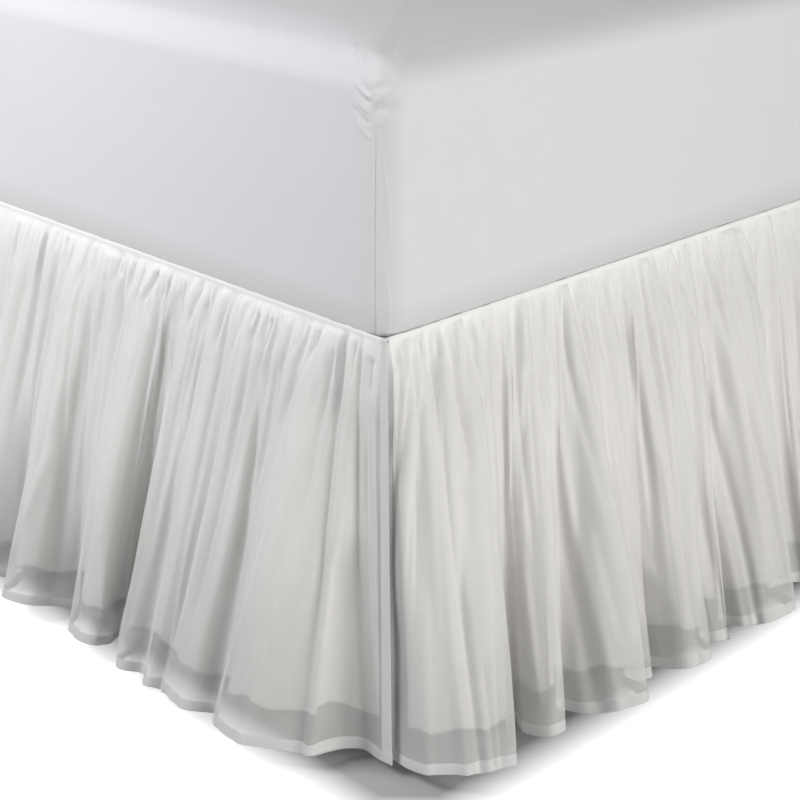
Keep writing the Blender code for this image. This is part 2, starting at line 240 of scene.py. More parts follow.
# The main creases of the foot panel near the right foot corner.
FOOT_CREASES = crease_table(
    (8, 8, 9, 14, 64, 3.0, -2.2), (16, 14, 8, 0, 380, 3.2, 2.0),
    (24, 20, 12, 40, 457, 3.0, -2.0), (30, 28, 26, 200, 457, 8.0, -3.2),
    (36, 40, 43, 0, 457, 3.4, 2.7), (44, 48, 50, 0, 457, 3.2, -2.5),
    (52, 57, 60, 0, 400, 3.2, 2.3), (58, 64, 67, 20, 300, 3.0, -2.0),
    (65, 86, 115, 0, 457, 4.0, 2.6), (61, 80, 104, 10, 300, 3.2, -2.0),
    (70, 86, 104, 0, 122, 3.6, 2.4), (76, 92, 110, 8, 130, 3.2, -1.8),
    (104, 112, 118, 22, 132, 3.2, 1.8), (98, 99, 101, 0, 60, 3.0, -1.7),
    (126, 120, 116, 30, 200, 3.0, -1.6), (132, 133, 138, 0, 80, 4.0, 2.2),
    (151, 154, 157, 12, 52, 4.0, -1.7), (148, 129, 121, 60, 320, 3.2, 1.8),
    (154, 136, 128, 60, 330, 3.2, -1.6), (166, 160, 158, 0, 457, 4.5, 1.7),
    (173, 174, 176, 10, 52, 3.0, -1.6), (187, 182, 180, 40, 300, 3.0, -1.7),
    (200, 187, 200, 0, 457, 4.4, 2.3), (208, 196, 206, 60, 457, 3.2, -1.7),
    (216, 212, 210, 0, 300, 3.0, -1.8), (233, 240, 223, 0, 457, 4.0, 1.9),
    (247, 245, 240, 0, 220, 3.0, -1.6), (256, 252, 250, 20, 260, 3.2, 1.5),
    (272, 274, 276, 0, 62, 3.4, -2.3), (280, 300, 271, 0, 457, 4.4, 2.0),
    (290, 308, 282, 40, 457, 3.2, -1.6), (318, 312, 302, 20, 300, 3.0, -1.6),
    (338, 360, 331, 0, 457, 4.6, 2.4), (346, 354, 367, 6, 54, 3.4, -2.1),
    (353, 362, 374, 0, 58, 3.6, 2.4), (374, 376, 372, 40, 457, 3.2, -1.6),
    (390, 388, 384, 0, 240, 3.0, -1.6), (406, 400, 392, 30, 457, 3.4, 1.6),
    (420, 421, 422, 0, 46, 3.2, -2.2), (438, 439, 441, 4, 42, 6.0, 2.0),
    (458, 430, 419, 0, 457, 4.4, 2.0), (466, 438, 428, 20, 457, 3.2, -1.6),
    (478, 470, 451, 0, 300, 3.0, -1.8), (500, 480, 463, 40, 212, 3.6, 2.2),
    (470, 481, 487, 250, 380, 3.6, 1.7), (512, 508, 500, 20, 250, 3.0, -1.6),
    (525, 540, 527, 28, 457, 4.2, 2.0), (534, 548, 536, 60, 457, 3.0, -1.6),
    (552, 550, 548, 0, 92, 3.4, 1.9), (566, 566, 565, 0, 220, 3.0, -1.7),
)

# The same for the right panel.
RIGHT_CREASES = crease_table(
    (14, 8, 4, 16, 160, 3.2, -2.4), (25, 14, 6, 0, 130, 3.2, 2.5),
    (33, 20, 10, 20, 300, 3.0, -1.7), (44, 18, 7, 0, 320, 3.6, 2.2),
    (30, 28, 26, 250, 457, 3.6, 1.7), (44, 50, 58, 30, 457, 3.6, 2.4),
    (50, 60, 70, 0, 457, 3.4, -3.0), (68, 74, 84, 0, 180, 3.6, 2.4),
    (72, 80, 90, 0, 150, 3.2, -2.7), (84, 86, 88, 330, 457, 4.0, -1.8),
    (98, 112, 114, 0, 457, 4.2, 2.8), (106, 123, 126, 0, 457, 3.4, -3.0),
    (116, 126, 136, 4, 102, 3.2, 2.3), (122, 132, 142, 0, 112, 3.2, -2.8),
    (140, 146, 150, 0, 240, 4.0, 2.0), (152, 155, 156, 60, 457, 3.2, -1.8),
    (164, 166, 170, 38, 457, 3.6, 2.1), (176, 182, 190, 250, 440, 3.2, 1.8),
    (178, 176, 178, 0, 240, 3.2, -2.2), (191, 187, 183, 58, 152, 4.0, -2.6),
    (188, 206, 216, 0, 457, 3.8, 2.4), (197, 222, 232, 10, 457, 3.4, -2.5),
    (214, 240, 256, 0, 457, 3.4, -2.4), (224, 248, 264, 0, 457, 3.4, 2.0),
    (240, 262, 276, 0, 300, 3.2, -1.8), (256, 262, 270, 240, 430, 3.4, 1.8),
    (258, 273, 285, 0, 457, 5.0, 3.0), (270, 286, 300, 0, 457, 3.6, -3.1),
    (290, 304, 318, 0, 300, 3.4, 1.8), (300, 314, 326, 10, 240, 3.2, -1.7),
    (312, 326, 342, 0, 152, 3.2, -1.9), (318, 331, 346, 20, 152, 3.4, 2.0),
    (334, 340, 344, 60, 457, 3.6, 1.8), (350, 358, 364, 38, 300, 3.2, -2.1),
    (366, 373, 384, 28, 300, 3.6, 2.1), (352, 346, 372, 240, 380, 4.6, 2.0),
    (344, 340, 360, 250, 400, 3.6, -1.8), (378, 388, 396, 0, 457, 3.2, -1.8),
    (394, 402, 412, 0, 102, 4.0, 2.4), (396, 430, 452, 40, 457, 4.0, 2.4),
    (405, 442, 462, 60, 457, 3.6, -2.8), (418, 430, 444, 0, 122, 5.0, -2.8),
    (420, 424, 424, 300, 420, 4.0, -1.7), (440, 478, 502, 0, 457, 4.0, 2.3),
    (450, 491, 516, 0, 457, 3.6, -2.8), (468, 480, 490, 0, 200, 3.2, 1.9),
    (484, 500, 512, 10, 240, 3.2, -1.8), (496, 540, 570, 0, 457, 3.4, -2.5),
    (506, 552, 580, 0, 457, 4.0, 2.4), (525, 546, 575, 0, 200, 3.4, -2.3),
    (540, 560, 590, 20, 300, 3.4, 1.8), (556, 576, 600, 0, 200, 8.0, 3.0),
    (586, 604, 618, 0, 122, 6.0, -3.4), (610, 621, 632, 90, 457, 3.6, 2.3),
    (618, 628, 640, 100, 457, 3.4, -2.5), (634, 642, 652, 0, 180, 3.4, 2.2),
    (646, 654, 664, 20, 260, 3.2, -2.0),
)


# ------------------------------------------------------------------ folds, creases and drape

SEAM_RAMP = 5.0  # millimetres below the seam over which creases reach their full depth
SEAM_START = 0.3  # the share of its depth that a crease has at the seam
EDGE_RAMP = 24.0  # millimetres of cloth from a split edge over which creases reach full depth
EDGE_START = 0.25
CREASE_REACH = 3.2  # widths beyond which a crease is left out
CREASE_GAIN = 1.8  # how much deeper creases are than their tables say
CREASE_LEAN = 0.6
CREASE_BEND = 0.3  # how far a drawn crease's middle may stray, as a share of its drift's range
LEAST_WIDTH = 1.1  # of a drawn crease, in millimetres
LIFT_LIMIT = 9.0  # millimetres that creases together lift or sink the cloth at most
SEAM_SINK = 0.4  # millimetres that they may sink it at the seam, where the lining is close
SINK_SLOPE = 0.3  # how much further for each millimetre below the seam


class Gather(NamedTuple):
    """The range that one size of random creases is drawn from, in millimetres."""

    pitch: tuple[float, float]
    start: tuple[float, float]
    length: tuple[float, float]
    width: tuple[float, float]  # as a share of the pitch
    rise: tuple[float, float]
    drift: float  # how far a crease may wander along the side for each 100 mm that it runs
    grooves: float = 0.0  # the share of the creases that are grooves


# From the seam down: tucks that merge into wider folds.
GATHERS = (
    Gather((5, 11), (0, 2), (26, 90), (0.22, 0.32), (0.6, 1.6), 7),
    Gather((13, 34), (0, 4), (24, 80), (0.06, 0.10), (-1.5, -0.7), 9),
    Gather((14, 34), (0, 10), (80, 240), (0.14, 0.20), (1.0, 2.6), 7),
    Gather((30, 64), (4, 30), (220, 440), (0.12, 0.18), (1.6, 4.2), 6),
    Gather((11, 24), (2, 70), (190, 430), (0.15, 0.23), (1.2, 2.5), 5, 0.4),
)
# What an unseen stretch has besides, in place of the tables' creases.
FINE_CREASES = Gather((7, 14), (0, 260), (80, 330), (0.26, 0.40), (0.8, 2.6), 6, 0.45)


def drawn_creases(gather: Gather, start: float, stop: float, seed: int) -> list[Crease]:
    """Random creases of one size along a stretch of a side.

    Args:
        gather: The range that they are drawn from.
        start: Where along the side the stretch begins, in millimetres.
        stop: Where it ends.
        seed: The seed of the draw.

    Returns:
        The creases, in order along the side.
    """
    draw = random.Random(seed)
    creases = []
    along = start + draw.uniform(0, gather.pitch[0])
    while along < stop:
        pitch = draw.uniform(*gather.pitch)
        top = draw.uniform(*gather.start)
        end = min(top + draw.uniform(*gather.length), SKIRT.drop / MM)
        drift = draw.uniform(-1, 1) * gather.drift * (end - top) / 100
        bend = draw.uniform(-CREASE_BEND, CREASE_BEND) * gather.drift * (end - top) / 100
        rise = draw.uniform(*gather.rise)
        if draw.random() < gather.grooves:
            rise = -rise
        width = max(pitch * draw.uniform(*gather.width), LEAST_WIDTH)
        middle = along + drift / 2 + bend
        creases.append(Crease(along, middle, along + drift, top, end, width, rise))
        along += pitch
    return creases


def eased(share: np.ndarray) -> np.ndarray:
    """A soft step from 0 to 1 as share goes from 0 to 1."""
    share = np.clip(share, 0, 1)
    return share * share * (3 - 2 * share)


def faded_in(places: np.ndarray, start: float, over: float) -> np.ndarray:
    """A soft step from 0 at start to 1 at so much over it."""
    return eased((places - start) / over)


class CreaseField:
    """The height of a set of creases over a cloth."""

    HEAD = 0.22  # the share of a crease over which it fades in, and below it out
    TAIL = 0.38

    def __init__(self, creases: Iterable[Crease], whole: float, lean: float = 0.0) -> None:
        """Keeps the creases of a cloth.

        Args:
            creases: The creases.
            whole: The cloth's length down its creases, in millimetres.
            lean: From 0 for even ridges to 1 for ones that overhang their far side, as folds
                do that lie over each other.
        """
        self.creases = list(creases)
        self.whole = whole
        self.lean = lean

    def ridge(self, off: np.ndarray, groove: bool) -> np.ndarray:
        """A crease's height across it, from 0 to 1.

        Args:
            off: Distances past its middle line, in its widths.
            groove: True for a groove, which is steep on its near side.

        Returns:
            The heights.
        """
        past = -off if groove else off
        near = np.exp(-0.5 * (past / (1 + self.lean)) ** 2)
        tail = np.exp(np.minimum(past, 0) / (2.4 * self.lean + 0.01)) * self.lean
        gentle = np.maximum(near, tail)
        steep = np.exp(-0.5 * (past / (1 - 0.5 * self.lean)) ** 2)
        return np.where(past > 0, steep, gentle)

    def fade(self, crease: Crease, share: np.ndarray) -> np.ndarray:
        """How much of a crease's rise it has along its length.

        Args:
            crease: The crease.
            share: Shares of its length, from 0 to 1.

        Returns:
            Shares of its rise.
        """
        fade = np.ones_like(share)
        if crease.start > 0:
            fade *= eased(share / self.HEAD)
        if crease.end < self.whole:
            fade *= eased((1 - share) / self.TAIL)
        return fade

    def heights(self, along: np.ndarray, down: np.ndarray) -> np.ndarray:
        """The summed height of the creases.

        Args:
            along: Places along the side, in millimetres, by column.
            down: Distances down the cloth, by row.

        Returns:
            Heights in millimetres, by column and row.
        """
        columns, rows = (np.argsort(places, kind="stable") for places in (along, down))
        total = np.zeros((len(along), len(down)))
        total[np.ix_(columns, rows)] = self.sorted_heights(along[columns], down[rows])
        return total

    def sorted_heights(self, along: np.ndarray, down: np.ndarray) -> np.ndarray:
        """The same, for places and distances that both ascend.

        Args:
            along: Places along the side, in millimetres, by column.
            down: Distances down the cloth, by row.

        Returns:
            Heights in millimetres, by column and row.
        """
        total = np.zeros((len(along), len(down)))
        for crease in self.creases:
            first, last = np.searchsorted(down, (crease.start, crease.end + 1e-6))
            if last <= first:
                continue
            share = (down[first:last] - crease.start) / (crease.end - crease.start)
            line = (
                crease.first * (1 - share) * (1 - 2 * share)
                + crease.middle * 4 * share * (1 - share)
                + crease.last * share * (2 * share - 1)
            )
            reach = (1 + 1.6 * self.lean) * CREASE_REACH * crease.width
            near = np.searchsorted(along, (line.min() - reach, line.max() + reach))
            part = slice(near[0], near[1])
            off = (along[part, None] - line[None, :]) / crease.width
            ridge = self.ridge(off, crease.rise < 0) * self.fade(crease, share)
            total[part, first:last] += crease.rise * ridge
        return total


@dataclass(frozen=True)
class SkirtSizes:
    """The skirt's own sizes, in metres."""

    drop: float = 0.457
    lining_drop: float = 0.412
    lining_start: float = 2.2 * MM  # below the seam's height
    lining_behind_seam: float = 3.6 * MM
    lining_behind: float = 6.4 * MM
    ridge_gain: float = 0.6  # how much higher ridges are near the seam than at the hem
    valley_loss: float = 0.4
    hem: float = 12 * MM
    side_hem: float = 13 * MM
    hem_behind: float = 0.9 * MM  # between the two faces of a turned hem
    hem_slack: float = 0.1 * MM  # how far above its stitches the hem's denser cloth sets in
    stitch_dip: float = 0.5 * MM
    level_stitch: float = 1.3 * MM  # half the width of the dip along the hem
    upright_stitch: float = 1.2 * MM  # the same along the side hems
    lining_share: float = 0.8  # how much of the voile's lift the lining has
    lining_gap: float = 1.3 * MM  # how far behind the voile's face it stays at least
    lining_sink: float = 1.0 * MM  # how far it may sink at the seam
    lining_sink_slope: float = 0.15  # how much further for each metre down
    lining_sway: float = 0.8 * MM  # how far each wave of its lower edge goes in and out
    lining_wave: float = 2.6 * MM  # the height of each wave of its lower edge


SKIRT = SkirtSizes()

# The back of a turned hem, from its stitches to its fold: how far each row is from the fold, as a
# share of the hem, and how far it is behind the face, as a share of hem_behind.
HEM_TURN = (1.0, 0.93, 0.68, 0.41, 0.16, 0.045, -0.027)
HEM_BACK = (0.15, 0.7, 1.0, 1.0, 0.95, 0.8, 0.45)

# The rolled seam, in millimetres out and up from where the face starts to hang, and the length of
# cloth from row to row.
ROLL_OUT = (-3.3, -2.4, -1.7, -1.1, -0.3, 0.3, 0.5, 0.4, 0.2)
ROLL_UP = (1.2, 2.7, 4.1, 4.9, 4.9, 4.0, 2.4, 0.7, -0.8)
ROLL_STEP = 0.9 * MM

# The voile's rows, in millimetres down: start, stop and step, and those of the hem one by one.
TUCK_ROWS = (2.4, 30, 1.6)
GATHER_ROWS = (30, 90, 3.2)
HEM_ROWS = (446.5, 450, 454, 456.5, 457)

# The lining's rows, in millimetres down: start, stop and step near the seam, then first, last and
# count, and those of its edge one by one. They are stretched to the lining's own drop.
LINING_TOP_ROWS = (0, 40, 4)
LINING_ROWS = (40, 402, 34)
LINING_EDGE_ROWS = (405, 408.5, 411)
LINING_TURN = (0.8 * MM, 0.8 * MM, 0.8 * MM, 0.2 * MM)  # how far its hem's back is behind it
LINING_WAVES = (9, 15, 24, 37, 61)  # of its lower edge, in millimetres for each radian


def unseen_folds(start: float, stop: float, spread: Spread) -> list[Fold]:
    """Uneven flat-crowned ridges with valleys between, from a valley at start on.

    Args:
        start: Where along the seam they begin, in millimetres.
        stop: Where along the seam the last valley may lie at the furthest.
        spread: The range that they are drawn from.

    Returns:
        The folds, in order, the last one a valley.
    """
    draw = random.Random(spread.seed)
    folds: list[Fold] = []
    valley_top = start
    while True:
        pitch = draw.uniform(*spread.pitch)
        if valley_top + pitch > stop:
            return folds
        left = (stop - valley_top) / (stop - start)
        lean = spread.lean * left + draw.uniform(-LEAN_CHANGE, LEAN_CHANGE)
        rise = valley_top + pitch * draw.uniform(*FLAT_FROM)
        crown = valley_top + pitch * draw.uniform(*FLAT_TO)
        ridge = draw.uniform(*spread.ridge)
        valley_top += pitch
        folds.append(Fold(rise, rise + lean - CROWN_SPREAD, ridge - CROWN_TILT))
        folds.append(Fold(crown, crown + lean + CROWN_SPREAD, ridge))
        folds.append(Fold(valley_top, valley_top + lean, draw.uniform(*spread.valley)))


def turned_round(folds: Sequence[Fold], length: float) -> list[Fold]:
    """The same folds counted from the panel's other end."""
    return [Fold(length - fold.top, length - fold.hem, fold.out) for fold in reversed(folds)]


def whole_panel(
    first: Sequence[Fold], spread: Spread, last: Sequence[Fold], length: float
) -> list[Fold]:
    """A panel's folds: a table from its first end, drawn folds, a table to its other end.

    Args:
        first: The folds at the panel's first end.
        spread: The range that the folds between are drawn from.
        last: The folds at its other end, counted from there.
        length: The length of the seam in millimetres.

    Returns:
        All the folds, counted from the first end.
    """
    stop = length - last[-1].top - TABLES_JOIN
    between = unseen_folds(first[-1].top, stop, spread)
    return [*first, *between, *turned_round(last, length)]


def through(stations: np.ndarray, values: np.ndarray, at: np.ndarray) -> np.ndarray:
    """A smooth curve through values at stations.

    Args:
        stations: Where the values are, in rising order.
        values: The curve's values there.
        at: The places to read it at.

    Returns:
        Its values at those places.
    """
    slopes = np.gradient(values, stations)
    index = np.clip(np.searchsorted(stations, at) - 1, 0, len(stations) - 2)
    step = stations[index + 1] - stations[index]
    u = (at - stations[index]) / step
    return (
        (1 + 2 * u) * (1 - u) ** 2 * values[index]
        + u * (1 - u) ** 2 * step * slopes[index]
        + u**2 * (3 - 2 * u) * values[index + 1]
        + u**2 * (u - 1) * step * slopes[index + 1]
    )


class Drape:
    """The hanging surface of one panel, worked out from its folds."""

    NEAR = 3  # rows on each side that a fold's mean reach is taken over
    FINE = 20001  # places that the even columns are found among
    COARSER_OVER = 0.1  # metres of seam over which they get further apart
    NUDGE = 0.4 * MM  # how far to each side a slope is taken

    def __init__(self, folds: Sequence[Fold]) -> None:
        """Lays the folds out along the hem's cloth.

        Args:
            folds: The panel's folds, in order.
        """
        table = np.array(folds, float) * MM
        self.top, self.hem, self.out = table.T
        steps = np.hypot(np.diff(self.hem), np.diff(self.out))
        self.stations = np.concatenate([[0.0], np.cumsum(steps)])
        rows = range(len(folds))
        near = [self.out[max(0, i - self.NEAR) : i + self.NEAR + 1] for i in rows]
        self.mean = np.array([values.mean() for values in near])

    @property
    def length(self) -> float:
        """The length of the hem's cloth."""
        return float(self.stations[-1])

    def seam_places(self, at: np.ndarray) -> np.ndarray:
        """Where along the seam the places along the hem's cloth hang from, in millimetres."""
        return through(self.stations, self.top, at) / MM

    def columns(self, seam_step: float, hem_step: float, seen: float) -> np.ndarray:
        """Places along the hem's cloth, evenly close for the eye.

        Args:
            seam_step: The furthest apart that two may hang at the seam, where they are close.
            hem_step: The furthest apart at the hem there. Both are three times that elsewhere.
            seen: How far along the seam the close columns go, from its start.

        Returns:
            The places, from 0 to the cloth's length.
        """
        fine = np.linspace(0, self.length, self.FINE)
        top = np.maximum.accumulate(self.seam_places(fine)) * MM
        wanted = np.maximum(np.diff(top) / seam_step, np.diff(fine) / hem_step)
        wanted /= 1 + 2 * eased((top[1:] - seen) / self.COARSER_OVER)
        count = np.concatenate([[0.0], np.cumsum(wanted)])
        return np.interp(np.linspace(0, count[-1], int(count[-1]) + 2), count, fine)

    def points(self, at: np.ndarray, down: np.ndarray) -> np.ndarray:
        """The undented cloth.

        Args:
            at: Places along the hem's cloth, by column.
            down: Distances down the cloth, by row.

        Returns:
            Along, out and up from the seam's height, by column and row.
        """
        top, hem, out, mean = (
            through(self.stations, values, at)[:, None]
            for values in (self.top, self.hem, self.out, self.mean)
        )
        share = down[None, :] / SKIRT.drop
        along = top + (hem - top) * share
        depth = out - mean
        gain = np.where(depth > 0, SKIRT.ridge_gain, -SKIRT.valley_loss) * (1 - share)
        outward = share * (mean + depth * (1 + gain)) + BED.seam_out
        fall = share * np.sqrt(SKIRT.drop**2 - out**2)
        return np.stack([along, outward, -fall], axis=-1)

    def normals(self, at: np.ndarray, down: np.ndarray) -> np.ndarray:
        """The outward directions of the undented cloth.

        Args:
            at: Places along the hem's cloth, by column.
            down: Distances down the cloth, by row.

        Returns:
            Unit vectors, laid out as its points are.
        """
        across = self.points(at + self.NUDGE, down) - self.points(at - self.NUDGE, down)
        low = np.maximum(down - self.NUDGE, 0)
        fall = self.points(at, low + 2 * self.NUDGE) - self.points(at, low)
        normal = np.cross(across, fall)
        return normal / np.linalg.norm(normal, axis=-1, keepdims=True)


# ------------------------------------------------------------------ finishes

Value = Union[float, Sequence[float], bpy.types.NodeSocket]


class Recipe:
    """A material's nodes, with short ways to add and join them."""

    def __init__(self, name: str) -> None:
        """Starts a material with one shader.

        Args:
            name: The material's name.
        """
        self.material = bpy.data.materials.new(name)
        self.material.use_nodes = True
        self.tree = self.material.node_tree
        self.shader = self.tree.nodes["Principled BSDF"]

    def put(self, socket: bpy.types.NodeSocket, value: Value) -> None:
        """Links a socket to another, or sets its own value.

        Args:
            socket: The socket.
            value: What to link it to, or its value. A colour may leave its alpha out.
        """
        if isinstance(value, bpy.types.NodeSocket):
            self.tree.links.new(value, socket)
        elif socket.type == "RGBA":
            socket.default_value = (*value, 1.0) if len(value) == 3 else value
        else:
            socket.default_value = value

    def node(self, kind: str, sockets: dict, **settings: object) -> bpy.types.Node:
        """Adds a node.

        Args:
            kind: Its type, without the leading ShaderNode.
            sockets: Values or links of its inputs, by name or number.
            settings: Its own properties.

        Returns:
            The node.
        """
        made = self.tree.nodes.new("ShaderNode" + kind)
        for key, value in settings.items():
            setattr(made, key, value)
        for key, value in sockets.items():
            self.put(made.inputs[key], value)
        return made

    def dress(self, **values: Value) -> bpy.types.Material:
        """Sets the shader's inputs.

        Args:
            values: Values or links, by the inputs' names with _ for a space.

        Returns:
            The material.
        """
        for key, value in values.items():
            self.put(self.shader.inputs[key.replace("_", " ")], value)
        return self.material

    def cloth_places(self) -> bpy.types.NodeSocket:
        """The piece's own UV map, which is in metres of cloth."""
        return self.node("TexCoord", {}).outputs["UV"]

    def places(self) -> bpy.types.NodeSocket:
        """Object coordinates, in metres."""
        return self.node("TexCoord", {}).outputs["Object"]

    def maths(self, operation: str, *values: Value) -> bpy.types.NodeSocket:
        """One sum of up to three values."""
        return self.node("Math", dict(enumerate(values)), operation=operation).outputs[0]

    def noise(
        self, places: Value, cell: Sequence[float], detail: float = 1.0
    ) -> bpy.types.NodeSocket:
        """Soft noise from 0 to 1.

        Args:
            places: The coordinates that it is laid over.
            cell: The size of its spots each way, in metres.
            detail: How many finer noises it has besides.

        Returns:
            The noise.
        """
        scale = tuple(1 / size for size in cell)
        moved = self.node("Mapping", {"Vector": places, "Scale": scale})
        sockets = {"Vector": moved.outputs[0], "Scale": 1.0, "Detail": detail}
        return self.node("TexNoise", sockets).outputs["Fac"]

    def spread(
        self, value: Value, low: float, high: float, least: float = 0.0, most: float = 1.0
    ) -> bpy.types.NodeSocket:
        """A value's range from low to high, stretched to least to most and held there."""
        sockets = {0: value, 1: low, 2: high, 3: least, 4: most}
        return self.node("MapRange", sockets).outputs[0]

    def blend(self, share: Value, first: Value, second: Value) -> bpy.types.NodeSocket:
        """A colour between two, by share."""
        sockets = {0: share, 6: first, 7: second}
        return self.node("Mix", sockets, data_type="RGBA").outputs[2]

    def bump(self, height: Value, depth: float, strength: float = 1.0) -> bpy.types.NodeSocket:
        """The normal of a relief that is depth metres deep where height is 1."""
        sockets = {"Height": height, "Distance": depth, "Strength": strength}
        return self.node("Bump", sockets).outputs[0]


PATCHES = (28 * MM, 60 * MM, 1.0)  # the size of a cloth's thinner and denser patches
SLUB_SHADES = (0.75, 1.25)  # what the thick threads' noise is stretched from for their shade
SLUB_COVERS = (0.8, 1.2)  # and for how much they cover
PATCH_SHADES = (0.3, 0.7)  # the same for the patches
PATCH_COVERS = (0.25, 0.75)
PATCH_COVER = 0.03  # how much more or less a patch covers


@dataclass(frozen=True)
class Cloth:
    """A plain-woven cloth with uneven threads. Sizes are in metres."""

    name: str
    colour: tuple[float, float, float]
    shade: tuple[float, float, float]  # of its thinner and worn places
    cover: float = 1.0  # how much it hides of what lies behind it
    seam_cover: float = 1.0  # the same at a gathered seam, where it is packed close
    packed_cover: float = 0.12  # how much more it covers below its tucks than at the hem
    tucks: float = 0.08  # how far down its tucks go
    opened: float = 0.44  # how far down it covers no more than cover says
    thread: float = 0.42 * MM
    slub: float = 0.9 * MM  # width of a thick thread
    slub_length: float = 45 * MM
    slub_cover: float = 0.0  # how much more a thick thread covers
    slub_shade: float = 0.10
    worn_shade: float = 0.15
    level_share: float = 0.5  # how strong the level slubs are beside the upright ones
    relief: float = 0.10 * MM
    sheen: float = 0.25
    roughness: float = 0.9
    # Painted shade: the next three fields darken the colour low down, to stand in for the shade
    # that falls there.
    low: tuple[float, float, float] = (0.40, 0.385, 0.37)  # what it darkens to, low down
    painted_shade_share: float = 0.0  # how far it gets to that colour
    painted_shade_span: tuple[float, float] = (-0.45, -0.38)  # heights between which it does

    def material(self) -> bpy.types.Material:
        """Builds the cloth's material.

        Returns:
            The material.
        """
        recipe = Recipe(self.name)
        cloth = recipe.cloth_places()
        upright = recipe.noise(cloth, (self.slub, self.slub_length, 1.0), 2.0)
        level = recipe.noise(cloth, (self.slub_length, self.slub, 1.0), 2.0)
        slubs = recipe.maths("MULTIPLY_ADD", level, self.level_share, upright)
        slubs = recipe.maths("ADD", slubs, (1 - self.level_share) / 2)
        uneven = recipe.noise(cloth, PATCHES, 3.0)
        thin = recipe.spread(slubs, *SLUB_SHADES, 1.0, 0.0)
        worn = recipe.spread(uneven, *PATCH_SHADES)
        streaks = recipe.maths("MULTIPLY", thin, self.slub_shade)
        shading = recipe.maths("MULTIPLY_ADD", worn, self.worn_shade, streaks)
        down = recipe.node("SeparateXYZ", {0: cloth}).outputs[1]
        colour = recipe.blend(shading, self.colour, self.shade)
        # Painted shade: the colour darkens low down, between the given heights.
        if self.painted_shade_share:
            low = recipe.spread(down, *self.painted_shade_span, self.painted_shade_share, 0.0)
            colour = recipe.blend(low, colour, self.low)
        height = recipe.maths("ADD", slubs, self.weave(recipe, cloth))
        values: dict[str, Value] = {
            "Base_Color": colour,
            "Roughness": self.roughness,
            "Normal": recipe.bump(height, self.relief),
            "Sheen_Weight": self.sheen,
            "Sheen_Roughness": 0.5,
            "Specular_IOR_Level": 0.25,
        }
        if self.cover < 1:
            threads = recipe.spread(slubs, *SLUB_COVERS, -self.slub_cover, self.slub_cover)
            patches = recipe.spread(uneven, *PATCH_COVERS, -PATCH_COVER, PATCH_COVER)
            least = self.cover + self.packed_cover
            upper = recipe.spread(down, -self.tucks, 0.0, least, self.seam_cover)
            lower = recipe.spread(down, -self.opened, -self.tucks, -self.packed_cover, 0.0)
            cover = recipe.maths("ADD", threads, patches)
            values["Alpha"] = recipe.maths("ADD", recipe.maths("ADD", cover, upper), lower)
        return recipe.dress(**values)

    def weave(self, recipe: Recipe, cloth: Value) -> bpy.types.NodeSocket:
        """Threads over and under each other.

        Args:
            recipe: The material's recipe.
            cloth: The cloth's coordinates.

        Returns:
            Their relief, from -0.5 to 0.5.
        """
        parts = recipe.node("SeparateXYZ", {0: cloth}).outputs
        turn = 2 * math.pi / (2 * self.thread)
        waves = [
            recipe.maths("SINE", recipe.maths("MULTIPLY", part, turn)) for part in parts[:2]
        ]
        crossed = recipe.maths("MULTIPLY", *waves)
        return recipe.maths("MULTIPLY", crossed, 0.5)


@dataclass(frozen=True)
class CoatedSteel:
    """Powder-coated steel with plastic soles, by height above the floor."""

    name: str = "coated_steel"
    colour: tuple[float, float, float] = (0.022, 0.022, 0.025)
    sole: tuple[float, float, float] = (0.010, 0.010, 0.010)
    sole_height: float = 0.0125
    dust: tuple[float, float, float] = (0.10, 0.10, 0.095)
    dust_share: float = 0.18  # how far the dustiest places get to that colour
    dust_patch: float = 0.06
    peel: float = 1.6 * MM  # the size of the coat's fine waves
    relief: float = 0.05 * MM

    def material(self) -> bpy.types.Material:
        """Builds the coat's material.

        Returns:
            The material.
        """
        recipe = Recipe(self.name)
        places = recipe.places()
        height = recipe.node("SeparateXYZ", {0: places}).outputs[2]
        steel = recipe.maths("GREATER_THAN", height, self.sole_height)
        orange_peel = recipe.noise(places, (self.peel,) * 3, 2.0)
        patches = recipe.noise(places, (self.dust_patch,) * 3, 4.0)
        dust = recipe.spread(patches, 0.45, 0.75, 0.0, self.dust_share)
        coat = recipe.blend(dust, self.colour, self.dust)
        return recipe.dress(
            Base_Color=recipe.blend(steel, self.sole, coat),
            Roughness=recipe.spread(orange_peel, 0.2, 0.8, 0.38, 0.52),
            Normal=recipe.bump(orange_peel, self.relief, 0.6),
            Specular_IOR_Level=0.5,
        )


